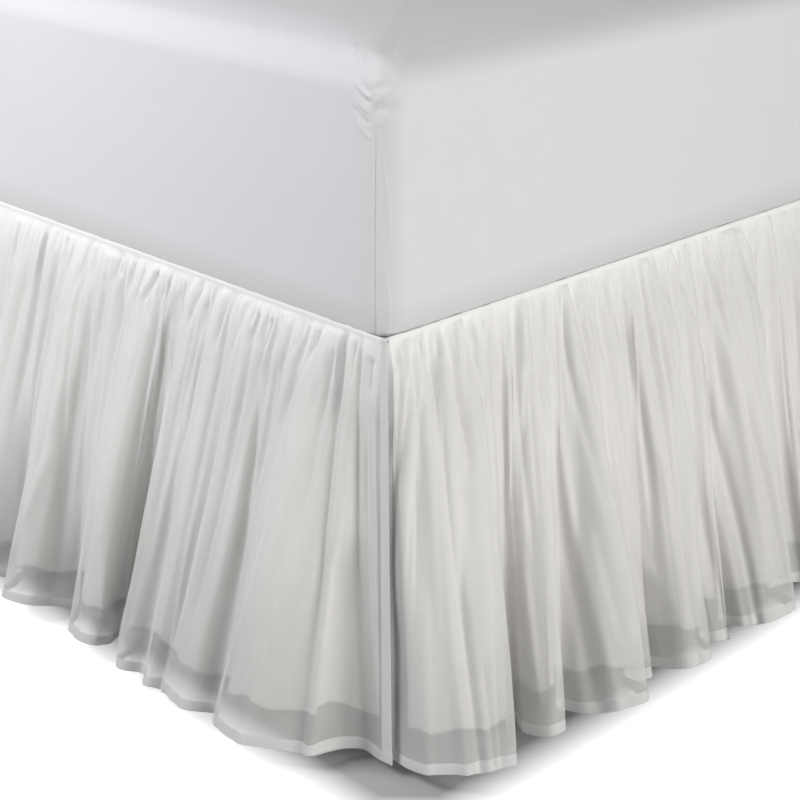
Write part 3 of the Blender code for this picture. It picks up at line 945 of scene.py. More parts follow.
@dataclass(frozen=True)
class PaperFloor:
    """The pale, seamless sweep that the bed stands on."""

    name: str = "pale_floor"
    colour: tuple[float, float, float] = (0.4, 0.4, 0.4)
    dull: float = 0.99  # what its colour is multiplied by in its duller patches
    patch: float = 0.4  # their size
    # The glow makes an evenly bright floor. It is left out under the bed, so the floor there stays
    # dark as painted shade.
    glow: float = 1.0  # it is lit from below, but not under the bed
    # from where to where the glow sets in: beside the bed, past its ends, and both together
    clear_side: tuple[float, float] = (0.855, 0.915)
    clear_end: tuple[float, float] = (1.005, 1.065)
    clear_corner: tuple[float, float] = (1.82, 1.88)

    def material(self) -> bpy.types.Material:
        """Builds the floor's material.

        Returns:
            The material.
        """
        recipe = Recipe(self.name)
        grain = recipe.noise(recipe.places(), (self.patch,) * 3, 3.0)
        tone = recipe.spread(grain, 0.3, 0.7)
        duller = tuple(part * self.dull for part in self.colour)
        # Painted shade: the glow's mask is nil under the bed and rises past the skirt's hem.
        parts = recipe.node("SeparateXYZ", {0: recipe.places()}).outputs
        across, along = (recipe.maths("ABSOLUTE", part) for part in parts[:2])
        glow_mask = recipe.spread(recipe.maths("ADD", across, along), *self.clear_corner)
        glow_mask = recipe.maths("MAXIMUM", glow_mask, recipe.spread(across, *self.clear_side))
        glow_mask = recipe.maths("MAXIMUM", glow_mask, recipe.spread(along, *self.clear_end))
        return recipe.dress(
            Base_Color=recipe.blend(tone, self.colour, duller),
            Roughness=0.95,
            Emission_Color=(1.0, 1.0, 1.0),
            Emission_Strength=recipe.maths("MULTIPLY", glow_mask, self.glow),
        )


VOILE = Cloth(
    "voile",
    (0.88, 0.875, 0.86),
    (0.82, 0.81, 0.79),
    cover=0.48,
    slub_cover=0.012,
    slub_shade=0.04,
    relief=0.03 * MM,
)
# The turned hem's doubled voile. Its colour is darker than the voile's, as painted shade low on the
# skirt.
SHADED_VOILE_HEM = Cloth(
    "voile_hem", (0.76, 0.76, 0.755), (0.68, 0.68, 0.67), cover=0.84, slub_cover=0.03
)
LINING = Cloth(
    "lining_cotton",
    (0.86, 0.85, 0.835),
    (0.80, 0.785, 0.765),
    thread=0.5 * MM,
    slub_shade=0.05,
    # Painted shade: its colour darkens towards its lower edge.
    painted_shade_share=0.6,
    painted_shade_span=(-0.42, -0.2),
)
DECK_CLOTH = Cloth("deck_cotton", (0.76, 0.76, 0.76), (0.70, 0.70, 0.69), thread=0.5 * MM)
SHEETING = Cloth(
    "fitted_sheet",
    (0.725, 0.73, 0.745),
    (0.70, 0.705, 0.72),
    thread=0.36 * MM,
    slub=1.1 * MM,
    slub_length=70 * MM,
    relief=0.07 * MM,
    # Painted shade: its colour darkens on the underside and over the lowest 40 mm of the walls,
    # just above the skirt's seam.
    painted_shade_share=0.35,
    painted_shade_span=(0.0, 0.04),
)
TICKING = Cloth("ticking", (0.66, 0.65, 0.62), (0.58, 0.57, 0.55), thread=0.9 * MM, relief=0.2 * MM)
DUST_COVER = Cloth("dust_cover", (0.10, 0.10, 0.11), (0.07, 0.07, 0.08), thread=1.2 * MM, sheen=0.1)


# ------------------------------------------------------------------ meshes of cloth


def cloth_mesh(name: str, points: np.ndarray, places: np.ndarray, mirrored: bool) -> bpy.types.Mesh:
    """A sheet of quads through a grid of points.

    Args:
        name: The mesh's name.
        points: Places in the row frame, by column and row.
        places: Cloth coordinates in metres, laid out as the points are.
        mirrored: True to turn the faces round.

    Returns:
        The mesh, smooth, with a UV map. A face keeps its column and row as its order.
    """
    columns, rows = points.shape[:2]
    sheet = bmesh.new()
    sheet.loops.layers.uv.new("UVMap")
    bmesh.ops.create_grid(
        sheet, x_segments=columns - 1, y_segments=rows - 1, size=0.5, calc_uvs=True
    )
    if mirrored:
        bmesh.ops.reverse_faces(sheet, faces=sheet.faces)
    mesh = bpy.data.meshes.new(name)
    sheet.to_mesh(mesh)
    sheet.free()
    flat = np.empty(len(mesh.vertices) * 3, np.float32)
    mesh.vertices.foreach_get("co", flat)
    flat = flat.reshape(-1, 3)
    column = np.rint((flat[:, 0] + 0.5) * (columns - 1)).astype(int)
    row = np.rint((0.5 - flat[:, 1]) * (rows - 1)).astype(int)
    mesh.vertices.foreach_set("co", points[column, row].astype(np.float32).ravel())
    corners = np.empty(len(mesh.loops), np.int32)
    mesh.loops.foreach_get("vertex_index", corners)
    cloth = places[column[corners], row[corners]].astype(np.float32)
    mesh.uv_layers[0].data.foreach_set("uv", cloth.ravel())
    mesh.shade_smooth()
    mesh.update()
    return mesh


def face_cells(mesh: bpy.types.Mesh, columns: int, rows: int) -> tuple[np.ndarray, np.ndarray]:
    """The first column and first row of each face of a mesh made by cloth_mesh."""
    index = np.arange(len(mesh.polygons))
    return index % (columns - 1), (rows - 2) - index // (columns - 1)


def add_piece(
    mesh: bpy.types.Mesh, slot: Slot, stands_for: Iterable[str], *materials: bpy.types.Material
) -> bpy.types.Object:
    """Makes a mesh a piece of the bed.

    Args:
        mesh: The mesh, in the row frame.
        slot: The record's material slot. It is not used.
        stands_for: The CAD nodes that it replaces.
        materials: Its finishes.

    Returns:
        The piece's object.
    """
    for material in materials:
        mesh.materials.append(material)
    piece = bpy.data.objects.new(mesh.name, mesh)
    bpy.context.scene.collection.objects.link(piece)
    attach(piece, BODY)
    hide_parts(*stands_for)
    log.info("%s: %d faces", piece.name, len(mesh.polygons))
    return piece


def outward(points: np.ndarray) -> np.ndarray:
    """The normals of a closed grid of points, to the side that faces out.

    Args:
        points: The points, by column anticlockwise seen from above and by row going up. The last
            column is the first one again.

    Returns:
        Unit vectors, by column and row, or nothing where the grid has no face.
    """
    across = np.gradient(points, axis=0)
    across[0] = across[-1] = (points[1] - points[-2]) / 2
    upward = np.gradient(points, axis=1)
    normal = np.cross(across, upward)
    size = np.linalg.norm(normal, axis=-1, keepdims=True)
    return np.where(size > 1e-12, normal / np.maximum(size, 1e-12), 0.0)


@dataclass(frozen=True)
class RoundedPlan:
    """A rectangle with rounded corners, walked anticlockwise from its right foot corner."""

    half_width: float
    foot: float
    head: float
    corner: float

    def stops(self) -> tuple[np.ndarray, ...]:
        """Where its straights and arcs start.

        Returns:
            Distances, the arc centres' x and y, and outward angles.
        """
        across, foot, head = self.half_width - self.corner, self.foot, self.head
        foot, head = foot + self.corner, head - self.corner
        bend = math.pi / 2 * self.corner
        side, end = head - foot, 2 * across
        steps = (0, bend / 2, side, bend, end, bend, side, bend, end, bend / 2)
        right, left = across, -across
        x = (right, right, right, right, left, left, left, left, right, right)
        y = (foot, foot, head, head, head, head, foot, foot, foot, foot)
        angle = (-45, 0, 0, 90, 90, 180, 180, 270, 270, 315)
        return np.cumsum(steps), np.array(x), np.array(y), np.radians(angle)

    @property
    def length(self) -> float:
        """The whole way round."""
        return float(self.stops()[0][-1])

    def walk(self, at: np.ndarray) -> tuple[np.ndarray, np.ndarray]:
        """Places round the plan.

        Args:
            at: Distances from the middle of the right foot corner, either way.

        Returns:
            The centre that each place is a corner radius away from, and its direction out.
        """
        distance, x, y, angle = self.stops()
        at = np.mod(at, distance[-1])
        centre = np.stack([np.interp(at, distance, x), np.interp(at, distance, y)], axis=-1)
        turn = np.interp(at, distance, angle)
        return centre, np.stack([np.cos(turn), np.sin(turn)], axis=-1)


class Profile(NamedTuple):
    """One row round a rounded block."""

    inset: float  # in from the plan
    height: float  # above the block's underside
    share: float = 1.0  # of the way out from the plan's middle; less than 1 on a flat end


def rounded_block(
    plan: RoundedPlan, at: np.ndarray, rows: Sequence[Profile], base: float
) -> np.ndarray:
    """Points on a block that is rounded in plan.

    Args:
        plan: Its outline.
        at: The places of its columns round the plan.
        rows: Its rows, from the underside up.
        base: The height of its underside.

    Returns:
        The points, by column and row.
    """
    centre, out = plan.walk(at)
    middle = np.array([0.0, (plan.foot + plan.head) / 2])
    lines = []
    for row in rows:
        place = middle + (centre + out * (plan.corner - row.inset) - middle) * row.share
        height = np.full((len(at), 1), base + row.height)
        lines.append(np.hstack([place, height]))
    return np.stack(lines, axis=1)


def close_block(mesh: bpy.types.Mesh) -> None:
    """Joins the two ends of a wrapped sheet, and the poles of its flat ends.

    Args:
        mesh: The sheet, which is changed.
    """
    block = bmesh.new()
    block.from_mesh(mesh)
    bmesh.ops.remove_doubles(block, verts=block.verts, dist=0.001 * MM)
    block.to_mesh(mesh)
    block.free()
    mesh.shade_smooth()


def quarter_turn(count: int) -> np.ndarray:
    """Angles from 0 to a right angle, both left out."""
    return np.linspace(0, math.pi / 2, count + 2)[1:-1]


# ------------------------------------------------------------------ skirt


@dataclass
class SkirtPanel:
    """One gathered voile panel and the shorter lining behind it."""

    side: Side
    folds: list[Fold]
    main_creases: Sequence[Crease]
    main_to: float  # the length of seam, in millimetres, that they cover
    seed: int
    seam_step: float = 1.4 * MM
    hem_step: float = 2.4 * MM
    lining_step: float = 3.2 * MM
    lining_inset: float = 28 * MM  # the lining starts this far behind the split edge
    lining_end: float = 12 * MM  # the same at the panel's other end
    flat_width: float = 2.5
    crease_gain: float = CREASE_GAIN
    drape: Drape = field(init=False)
    creases: list[Crease] = field(init=False)

    def __post_init__(self) -> None:
        """Works out the drape and draws the creases."""
        self.drape = Drape(self.folds)
        length = self.folds[-1].top
        self.creases = list(self.main_creases)
        for index, gather in enumerate(GATHERS):
            self.creases += drawn_creases(gather, 0, length, self.seed + index)
        self.creases += drawn_creases(FINE_CREASES, self.main_to, length, self.seed + 9)

    def dents(self, at: np.ndarray, down: np.ndarray) -> np.ndarray:
        """How far the creases lift the cloth, in metres.

        Args:
            at: Places along the hem's cloth.
            down: Distances down the cloth.

        Returns:
            The lift, by column and row.
        """
        fall = np.clip(down, 0, None) / MM
        all_creases = CreaseField(self.creases, SKIRT.drop / MM, CREASE_LEAN)
        lift = self.crease_gain * all_creases.heights(self.drape.seam_places(at), fall)
        lift *= SEAM_START + (1 - SEAM_START) * (1 - np.exp(-fall / SEAM_RAMP))
        from_edge = np.minimum(np.abs(at), np.abs(self.drape.length - at)) / MM
        lift *= (EDGE_START + (1 - EDGE_START) * eased(from_edge / EDGE_RAMP))[:, None]
        lift = LIFT_LIMIT * np.tanh(lift / LIFT_LIMIT)
        return np.maximum(lift, -(SEAM_SINK + SINK_SLOPE * fall)) * MM

    def placed(self, local: np.ndarray) -> np.ndarray:
        """Points or directions by along, out and up, turned to the row frame's axes."""
        axes = np.stack([self.side.along, self.side.out, (0, 0, 1)])
        return local @ axes

    @property
    def origin(self) -> np.ndarray:
        """The foot corner at the seam's height."""
        return self.side.corner + np.array([0, 0, BED.seam_height])

    def voile(self, hem_rows: int) -> bpy.types.Object:
        """Hangs the voile, with its turned hems and its rolled seam.

        Args:
            hem_rows: The rows of faces in the last stretch before the hem.

        Returns:
            The piece.
        """
        middle = self.drape.columns(self.seam_step, self.hem_step, self.main_to * MM)
        turn = np.array(HEM_TURN) * SKIRT.side_hem
        back = np.array(HEM_BACK) * SKIRT.hem_behind
        at = np.concatenate([turn, middle, self.drape.length - turn[::-1]])
        at_back = np.concatenate([back, np.zeros(len(middle)), back[::-1]])
        u = np.concatenate([-turn, middle, self.drape.length + turn[::-1]])
        roll = len(ROLL_OUT)
        down = self.falls(hem_rows)
        hem = SKIRT.drop - (turn * SKIRT.hem / SKIRT.side_hem)[::-1]
        rows = np.concatenate([np.zeros(roll), down, hem])
        row_back = np.concatenate([np.zeros(roll + len(down)), back[::-1]])
        v = np.concatenate([np.arange(roll, 0, -1) * ROLL_STEP, -down, hem - 2 * SKIRT.drop])
        lift = self.dents(at, rows) - self.stitches(at, rows)
        lift -= at_back[:, None] + row_back[None, :]
        points = self.drape.points(at, rows)
        points += self.drape.normals(at, rows) * lift[..., None]
        points[:, :roll, 1] += np.array(ROLL_OUT) * MM
        points[:, :roll, 2] += np.array(ROLL_UP) * MM
        points = self.placed(points) + self.origin
        places = np.stack(np.meshgrid(u, v, indexing="ij"), axis=-1)
        mesh = cloth_mesh(f"voile_{self.side.value}", points, places, self.side.mirrored)
        column, row = face_cells(mesh, len(at), len(rows))
        in_hem = (row >= roll) & (rows[row] > SKIRT.drop - SKIRT.hem - SKIRT.hem_slack)
        edge = len(turn) + int(np.searchsorted(middle, SKIRT.side_hem))
        in_hem |= (column < edge) | (column >= len(at) - edge)
        mesh.polygons.foreach_set("material_index", in_hem.astype(np.int32))
        node = f"skirt_{self.side.value}"
        piece = add_piece(mesh, Slot.VOILE, [node], VOILE.material(), SHADED_VOILE_HEM.material())
        return piece

    def falls(self, count: int) -> np.ndarray:
        """The voile's rows, close together near the seam and at the hem.

        Args:
            count: How many there are in the last stretch before the hem.

        Returns:
            Distances down the cloth.
        """
        upper = [np.arange(*TUCK_ROWS), np.arange(*GATHER_ROWS)]
        lower = np.linspace(GATHER_ROWS[1], (SKIRT.drop - SKIRT.hem) / MM, count)
        return np.concatenate([*upper, lower, HEM_ROWS]) * MM

    def stitches(self, at: np.ndarray, down: np.ndarray) -> np.ndarray:
        """How far the lines of stitches along the hems pull the cloth in.

        Args:
            at: Places along the hem's cloth, by column.
            down: Distances down the cloth, by row.

        Returns:
            Depths, by column and row.
        """
        rows = np.exp(-0.5 * ((down - (SKIRT.drop - SKIRT.hem)) / SKIRT.level_stitch) ** 2)
        from_edge = np.minimum(np.abs(at), np.abs(self.drape.length - at))
        columns = np.exp(-0.5 * ((from_edge - SKIRT.side_hem) / SKIRT.upright_stitch) ** 2)
        return SKIRT.stitch_dip * np.maximum(columns[:, None], rows[None, :])

    def lining(self) -> bpy.types.Object:
        """Hangs the lining behind the voile, in a softer form of its folds and creases.

        Returns:
            The piece.
        """
        inset = self.lining_inset
        middle = self.drape.columns(self.lining_step, self.lining_step, math.inf)
        at = middle[(middle > inset) & (middle < self.drape.length - self.lining_end)]
        fall = np.concatenate(
            [np.arange(*LINING_TOP_ROWS), np.linspace(*LINING_ROWS), LINING_EDGE_ROWS]
        )
        fall = SKIRT.lining_start + fall / fall[-1] * (SKIRT.lining_drop - SKIRT.lining_start)
        turned = fall[-4:][::-1]
        down = np.concatenate([fall, turned])
        behind = np.interp(
            down, (0, SKIRT.drop / 2), (SKIRT.lining_behind_seam, SKIRT.lining_behind)
        )
        behind[len(fall) :] += LINING_TURN
        face = self.dents(at, down)
        lift = SKIRT.lining_share * face - behind
        lift = np.minimum(lift, face - SKIRT.lining_gap)
        lift = np.maximum(lift, -behind - SKIRT.lining_sink - SKIRT.lining_sink_slope * down)
        low = (down / SKIRT.lining_drop) ** 3
        draw = np.random.default_rng(self.seed)
        phases = draw.uniform(0, 2 * math.pi, len(LINING_WAVES))
        pairs = zip(LINING_WAVES, phases)
        waves = [np.sin(at / (length * MM) + phase) for length, phase in pairs]
        uneven = np.sum(waves, axis=0)[:, None] * low
        lift -= SKIRT.lining_sway * (2 + uneven * low)
        points = self.drape.points(at, down)
        points += self.drape.normals(at, down) * lift[..., None]
        points[..., 2] += SKIRT.lining_wave * uneven
        points = self.placed(points) + self.origin
        v = np.concatenate([-fall, turned - 2 * fall[-1]])
        places = np.stack(np.meshgrid(at, v, indexing="ij"), axis=-1)
        mesh = cloth_mesh(f"under_{self.side.value}", points, places, self.side.mirrored)
        node = f"lining_{self.side.value}"
        piece = add_piece(mesh, Slot.LINING_COTTON, [node], LINING.material())
        return piece


@dataclass
class Skirt:
    """The deck cloth and the three panels that hang from it."""

    deck_rows: int = 90
    deck_columns: int = 70
    deck_sag: float = 0.5 * MM
    deck_edge: float = 14 * MM  # how far in from its edges it starts to droop
    deck_crowding: float = 0.75  # how much of its rows' spacing narrows towards the edges
    hem_rows: int = 44

    def panels(self) -> list[SkirtPanel]:
        """The three panels, by the sides of the bed.

        Returns:
            Foot, right and left.
        """
        width, length = BED.width / MM, BED.length / MM
        foot = whole_panel(FOOT_FOLDS, FOOT_SPREAD, FOOT_EDGE_FOLDS, width)
        right = whole_panel(SIDE_FOLDS, RIGHT_SPREAD, HEAD_EDGE_FOLDS, length)
        left = whole_panel(LEFT_EDGE_FOLDS, LEFT_SPREAD, HEAD_EDGE_FOLDS, length)
        return [
            SkirtPanel(Side.FOOT, foot, FOOT_CREASES, 600, seed=101, flat_width=2.3),
            SkirtPanel(
                Side.RIGHT, right, RIGHT_CREASES, 660, seed=211, flat_width=3.1, crease_gain=1.9
            ),
            SkirtPanel(
                Side.LEFT, left, (), 0, 307, seam_step=1.2 * MM, hem_step=2 * MM, flat_width=3.1
            ),
        ]

    def deck(self) -> bpy.types.Object:
        """Lays the deck cloth, whose front corners droop a little past the base.

        Returns:
            The piece.
        """
        half = BED.width / 2 + BED.deck_overhang
        low, high = BED.foot_y - BED.deck_overhang, BED.head_y
        ease = np.sin(np.linspace(-math.pi / 2, math.pi / 2, self.deck_columns))
        even = np.linspace(-1, 1, self.deck_columns)
        x = half * ((1 - self.deck_crowding) * even + self.deck_crowding * ease)
        ease = (1 + np.sin(np.linspace(-math.pi / 2, math.pi / 2, self.deck_rows))) / 2
        y = high + (low - high) * ease
        grid = np.stack(np.meshgrid(x, y, indexing="ij"), axis=-1)
        edge = self.deck_edge
        past_side = np.clip((np.abs(grid[..., 0]) - half + edge) / edge, 0, 1)
        past_foot = np.clip((low + edge - grid[..., 1]) / edge, 0, 1)
        height = BED.deck_top - self.deck_sag * past_side * past_foot
        points = np.concatenate([grid, height[..., None]], axis=-1)
        mesh = cloth_mesh("deck_cloth", points, grid, mirrored=False)
        piece = add_piece(mesh, Slot.DECK_COTTON, ["deck"], DECK_CLOTH.material())
        body = piece.modifiers.new("thickness", "SOLIDIFY")
        body.thickness = BED.deck_thickness - self.deck_sag
        body.offset = -1.0
        return piece

    def build(self) -> None:
        """Makes every piece of the skirt."""
        self.deck()
        for panel in self.panels():
            panel.voile(self.hem_rows)
            panel.lining()


# ------------------------------------------------------------------ mattress, base and frame

# Creases of the fitted sheet near the visible corner. Along is from the corner's middle, to the
# right side if over 0, and start and end are heights up the sheet from the mattress's underside.
SHEET_CREASES = crease_table(
    # the dart's stitched groove and the ridge on each side of it
    (-9.8, -8.6, -7.1, -4, 258, 0.8, -0.9), (-12.4, -11.2, -9.6, -4, 258, 1.2, 0.45),
    (-7.2, -6.0, -4.6, -4, 256, 1.2, 0.5),
    # the edge of its seam allowance
    (5.6, 3.0, -5.2, 96, 200, 1.1, 0.8), (2.4, 4.0, -5.6, -4, 92, 1.1, 0.8),
    # puckers to the left of the dart, groove and ridge in turn
    (-12, -21, -32, 238, 258, 1.5, -1.7), (-12, -22, -35, 228, 244, 1.5, -1.7),
    (-12, -24, -38, 209, 230, 1.6, -1.5), (-11, -20, -33, 244, 266, 2.0, 1.5),
    (-11, -21, -34, 233, 251, 1.8, 1.3), (-11, -23, -37, 219, 237, 1.9, 1.2),
    (-11, -22, -34, 194, 219, 2.3, 0.8),
    # puckers to the right, which lie almost level
    (9, 3, -5, 249, 258, 3.6, -1.7), (-5, 4, 15, 239, 245, 5.0, -1.6),
    (-5, 4, 15, 219, 225, 5.0, -1.3), (-5, 4, 15, 246, 251, 4.6, 1.1),
    (-5, 4, 15, 228, 236, 4.6, 1.1), (-5, 3, 12, 206, 213, 4.6, 0.8),
    # cloth bunched over the top of the corner
    (-12, -30, -44, 254, 276, 3.2, 1.8), (-10, -20, -28, 260, 284, 2.4, 1.6),
    (-30, -46, -60, 256, 282, 4.2, 1.8), (2, 9, 15, 258, 280, 2.6, 1.4),
    (10, 18, 28, 256, 276, 2.6, 0.9), (-8, -8, -6, 257, 280, 3.6, -2.4),
    # slanting wrinkles on the foot side
    (-150, -186, -217, 236, 290, 3.6, 0.8), (-166, -202, -236, 230, 286, 3.0, 0.6),
    (-118, -140, -166, 240, 290, 4.2, 0.6),
)


# The sheet's broad unevenness, and the fine slanting pulls near its top edge.
SHEET_GATHERS = (
    Gather((60, 150), (-20, 120), (120, 300), (0.3, 0.42), (-1.0, 1.0), 30),
    Gather((90, 200), (170, 240), (60, 200), (0.04, 0.09), (0.3, 0.9), 60, 0.3),
)
SHEET_END = 80  # millimetres before the opposite corner, where the last of them starts
LEAST_LENGTH = 20  # of a crease of the sheet

# The sheet's creases set in from CREASED_FROM up the sheet, and none is left from CREASED_TO on.
# They also fade inside the visible corner's arc, from ARC_TOP up. Each is a start and the distance
# that the change takes, and a negative start is counted the other way.
CREASED_FROM = (-5 * MM, 12 * MM)
CREASED_TO = (-0.75, 0.35)
ARC_FADE = (-0.032, 0.008)
ARC_TOP = (0.236, 0.03)

# The rows of the mattress's top, as shares of the way out: start, stop and step near its edge,
# and the rest one by one.
TOP_EDGE_ROWS = (0.9985, 0.975, -0.0015)
TOP_INNER_ROWS = (0.97, 0.885, -0.006)
TOP_ROWS = (0.87, 0.83, 0.78, 0.72, 0.62, 0.5, 0.36, 0.2, 0.08, 0)


def steps_between(*spans: tuple[float, float, float]) -> np.ndarray:
    """Evenly spaced places over several spans.

    Args:
        spans: Start, stop and step of each.

    Returns:
        The places in order, stops left out.
    """
    return np.concatenate(
        [np.linspace(a, b, max(int(round((b - a) / s)), 1), endpoint=False) for a, b, s in spans]
    )


@dataclass
class Mattress:
    """A mattress with a soft crown, in a fitted sheet with a darted corner."""

    height: float = 0.262
    overhang: float = 4 * MM
    corner: float = 36 * MM
    top_edge: float = 25 * MM
    bottom_edge: float = 5 * MM
    puff: float = 27 * MM  # how far its middle stands above its edges
    puff_reach: tuple[float, float] = (0.14, 0.08)  # how far in from sides and ends it rises
    puff_power: float = 5.0  # how sharply the rises from two edges meet
    seed: int = 71

    @property
    def base(self) -> float:
        """The height of its underside."""
        return BED.deck_top + BED.gap

    @property
    def plan(self) -> RoundedPlan:
        """Its outline."""
        half, over = BED.width / 2 + self.overhang, self.overhang
        return RoundedPlan(half, BED.foot_y - over, BED.head_y + over, self.corner)

    def columns(self) -> np.ndarray:
        """Places round the plan, closest beside the visible corner's dart.

        Returns:
            Distances from the middle of that corner, either way.
        """
        half = self.plan.length / 2
        right = steps_between(
            (0.045, 0.11, 2 * MM),
            (0.11, 0.24, 4 * MM),
            (0.24, 0.75, 12 * MM),
            (0.75, half, 34 * MM),
        )
        dart = steps_between((-0.045, 0.045, 1 * MM))
        stops = self.plan.stops()[0]
        bends = [steps_between((stops[i], stops[i + 1], 5 * MM)) - half for i in (2, 4, 6)]
        bends = [np.mod(bend, 2 * half) - half for bend in bends]
        return np.unique(np.concatenate([-right, dart, right, *bends, [-half, half]]))

    def profile(self) -> tuple[list[Profile], np.ndarray]:
        """The block's rows.

        Returns:
            The rows, and how far each is up the sheet from the underside's edge.
        """
        low, high = self.bottom_edge, self.top_edge
        rows = [Profile(low, 0.0, share) for share in (0, 0.4, 0.75, 0.92, 0.98, 1)]
        for turn in quarter_turn(3):
            rows.append(Profile(low * (1 - math.sin(turn)), low * (1 - math.cos(turn))))
        wall = steps_between((low, 0.15, 4.6 * MM), (0.15, self.height - high, 1.6 * MM))
        for height in wall:
            rows.append(Profile(0.0, float(height)))
        for turn in (0.0, *quarter_turn(31), math.pi / 2):
            rise = self.height - high + high * math.sin(turn)
            rows.append(Profile(high * (1 - math.cos(turn)), rise))
        for share in (*np.arange(*TOP_EDGE_ROWS), *np.arange(*TOP_INNER_ROWS), *TOP_ROWS):
            rows.append(Profile(high, self.height, share))
        places = np.array([(row.inset + (1 - row.share) * 0.9, row.height) for row in rows])
        steps = np.hypot(*np.diff(places, axis=0).T)
        up = np.concatenate([[0.0], np.cumsum(steps)])
        return rows, up - up[5]

    def dent(self, points: np.ndarray, at: np.ndarray, up: np.ndarray) -> np.ndarray:
        """The sheet's creases and slight unevenness, raised on its smooth shape.

        Args:
            points: The smooth shape's points.
            at: Places round the plan, by column.
            up: Distances up the sheet, by row.

        Returns:
            The creased points.
        """
        rows = list(SHEET_CREASES)
        for gather in SHEET_GATHERS:
            rows += drawn_creases(gather, at[0] / MM, at[-1] / MM - SHEET_END, self.seed)
        rows = [row._replace(end=max(row.end, row.start + LEAST_LENGTH)) for row in rows]
        lift = CreaseField(rows, 1e6).heights(at / MM, up / MM) * MM
        ends = faded_in(up, *CREASED_FROM) * faded_in(-up, *CREASED_TO)
        in_arc = faded_in(-np.abs(at), *ARC_FADE)[:, None]
        narrows = faded_in(up, *ARC_TOP)[None, :]
        lift *= ends[None, :] * (1 - in_arc * narrows)
        lift[-1] = lift[0]
        return points + outward(points) * lift[..., None]

    def puffed(self, points: np.ndarray) -> np.ndarray:
        """Raises the top softly from its edges to its middle.

        Args:
            points: The block's points.

        Returns:
            The raised points.
        """
        plan = self.plan
        shares = [
            (points[..., 1] - plan.foot) / self.puff_reach[1],
            (plan.head - points[..., 1]) / self.puff_reach[1],
            (plan.half_width - np.abs(points[..., 0])) / self.puff_reach[0],
        ]
        power = self.puff_power
        near = sum(np.clip(share, 1e-3, None) ** -power for share in shares) ** (-1 / power)
        rise = 1 - np.clip(1 - near, 0, 1) ** 2
        points[..., 2] += self.puff * rise * (points[..., 2] - self.base) / self.height
        return points

    def build(self) -> None:
        """Makes the mattress."""
        at = self.columns()
        rows, up = self.profile()
        points = rounded_block(self.plan, at, rows, self.base)
        points = self.puffed(points)
        points = self.dent(points, at, up)
        places = np.stack(np.meshgrid(at, up, indexing="ij"), axis=-1)
        mesh = cloth_mesh("mattress_in_sheet", points[:, ::-1], places[:, ::-1], mirrored=False)
        close_block(mesh)
        piece = add_piece(mesh, Slot.FITTED_SHEET, ["mattress"], SHEETING.material())


FLAT_SHARES = (0, 0.5, 0.9, 1)  # the rows of the base's flat ends, as shares of the way out
BEND_LENGTH = 0.08  # how far round a corner of the base closer columns go
BEND_COLUMNS = 14


@dataclass
class BoxSpring:
    """The mattress's base: a stuffed box with a welt round its two edges."""

    height: float = 0.210
    corner: float = 45 * MM
    welt: float = 5 * MM
    groove: float = 6 * MM
    side_inset: float = 2.6 * MM
    bulge: float = 1.8 * MM
    side_start: float = 16 * MM  # where the stuffed side's bulge starts, above and below
    column_step: float = 22 * MM

    def profile(self) -> list[Profile]:
        """Its rows, from the middle of the underside to the middle of the top.

        Returns:
            The rows.
        """
        welt, height = self.welt, self.height
        flat = [Profile(welt + 4 * MM, 0.0, share) for share in FLAT_SHARES]
        turns = np.linspace(-math.pi / 2, math.pi / 2, 9)
        lower = [
            Profile(welt * (1 - math.cos(turn)), welt * (1 + math.sin(turn))) for turn in turns
        ]
        edge = [
            Profile(self.groove, 2 * welt + 0.8 * MM),
            Profile(self.side_inset + 1 * MM, self.side_start - 3 * MM),
        ]
        side = []
        for share in np.linspace(0, 1, 15):
            inset = self.side_inset - self.bulge * math.sin(math.pi * share)
            side.append(Profile(inset, self.side_start + share * (height - 2 * self.side_start)))
        upper = [*flat, *lower, *edge]
        top = [row._replace(height=height - row.height) for row in reversed(upper)]
        return [*upper, *side, *top]

    def build(self) -> None:
        """Makes the base."""
        plan = RoundedPlan(BED.width / 2, BED.foot_y, BED.head_y, self.corner)
        half = plan.length / 2
        bends = [plan.stops()[0][i] for i in (0, 2, 4, 6, 8)]
        round_bends = [np.linspace(b, b + BEND_LENGTH, BEND_COLUMNS) - half for b in bends]
        even = np.arange(-half, half, self.column_step)
        at = np.unique(np.concatenate([even, *round_bends, [half]]))
        rows = self.profile()
        base = BED.deck_bottom - BED.gap - self.height
        points = rounded_block(plan, at, rows, base)
        rises = (
            abs(after.height - row.height) + 0.5 * abs(after.share - row.share)
            for row, after in zip(rows, rows[1:])
        )
        up = np.cumsum([0.0, *rises])
        places = np.stack(np.meshgrid(at, up, indexing="ij"), axis=-1)
        mesh = cloth_mesh("covered_base", points[:, ::-1], places[:, ::-1], mirrored=False)
        _, row = face_cells(mesh, len(at), len(rows))
        under = (row >= len(rows) - len(FLAT_SHARES) - 1).astype(np.int32)
        mesh.polygons.foreach_set("material_index", under)
        close_block(mesh)
        add_piece(mesh, Slot.TICKING, ["box_spring"], TICKING.material(), DUST_COVER.material())


@dataclass
class BedFrame:
    """The rails and legs, which keep their CAD shape."""

    def build(self) -> None:
        """Gives the frame's nodes their coat."""
        coat = CoatedSteel().material()
        for name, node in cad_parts.items():
            if name.startswith(("rail_", "leg_")):
                node.material_slots[0].material = coat
                log.info("%s: CAD shape, coated", name)


# ------------------------------------------------------------------ studio


class Softbox(NamedTuple):
    """One soft light."""

    name: str
    place: tuple[float, float, float]
    aim: tuple[float, float, float]
    size: tuple[float, float]
    power: float
    tint: tuple[float, float, float]


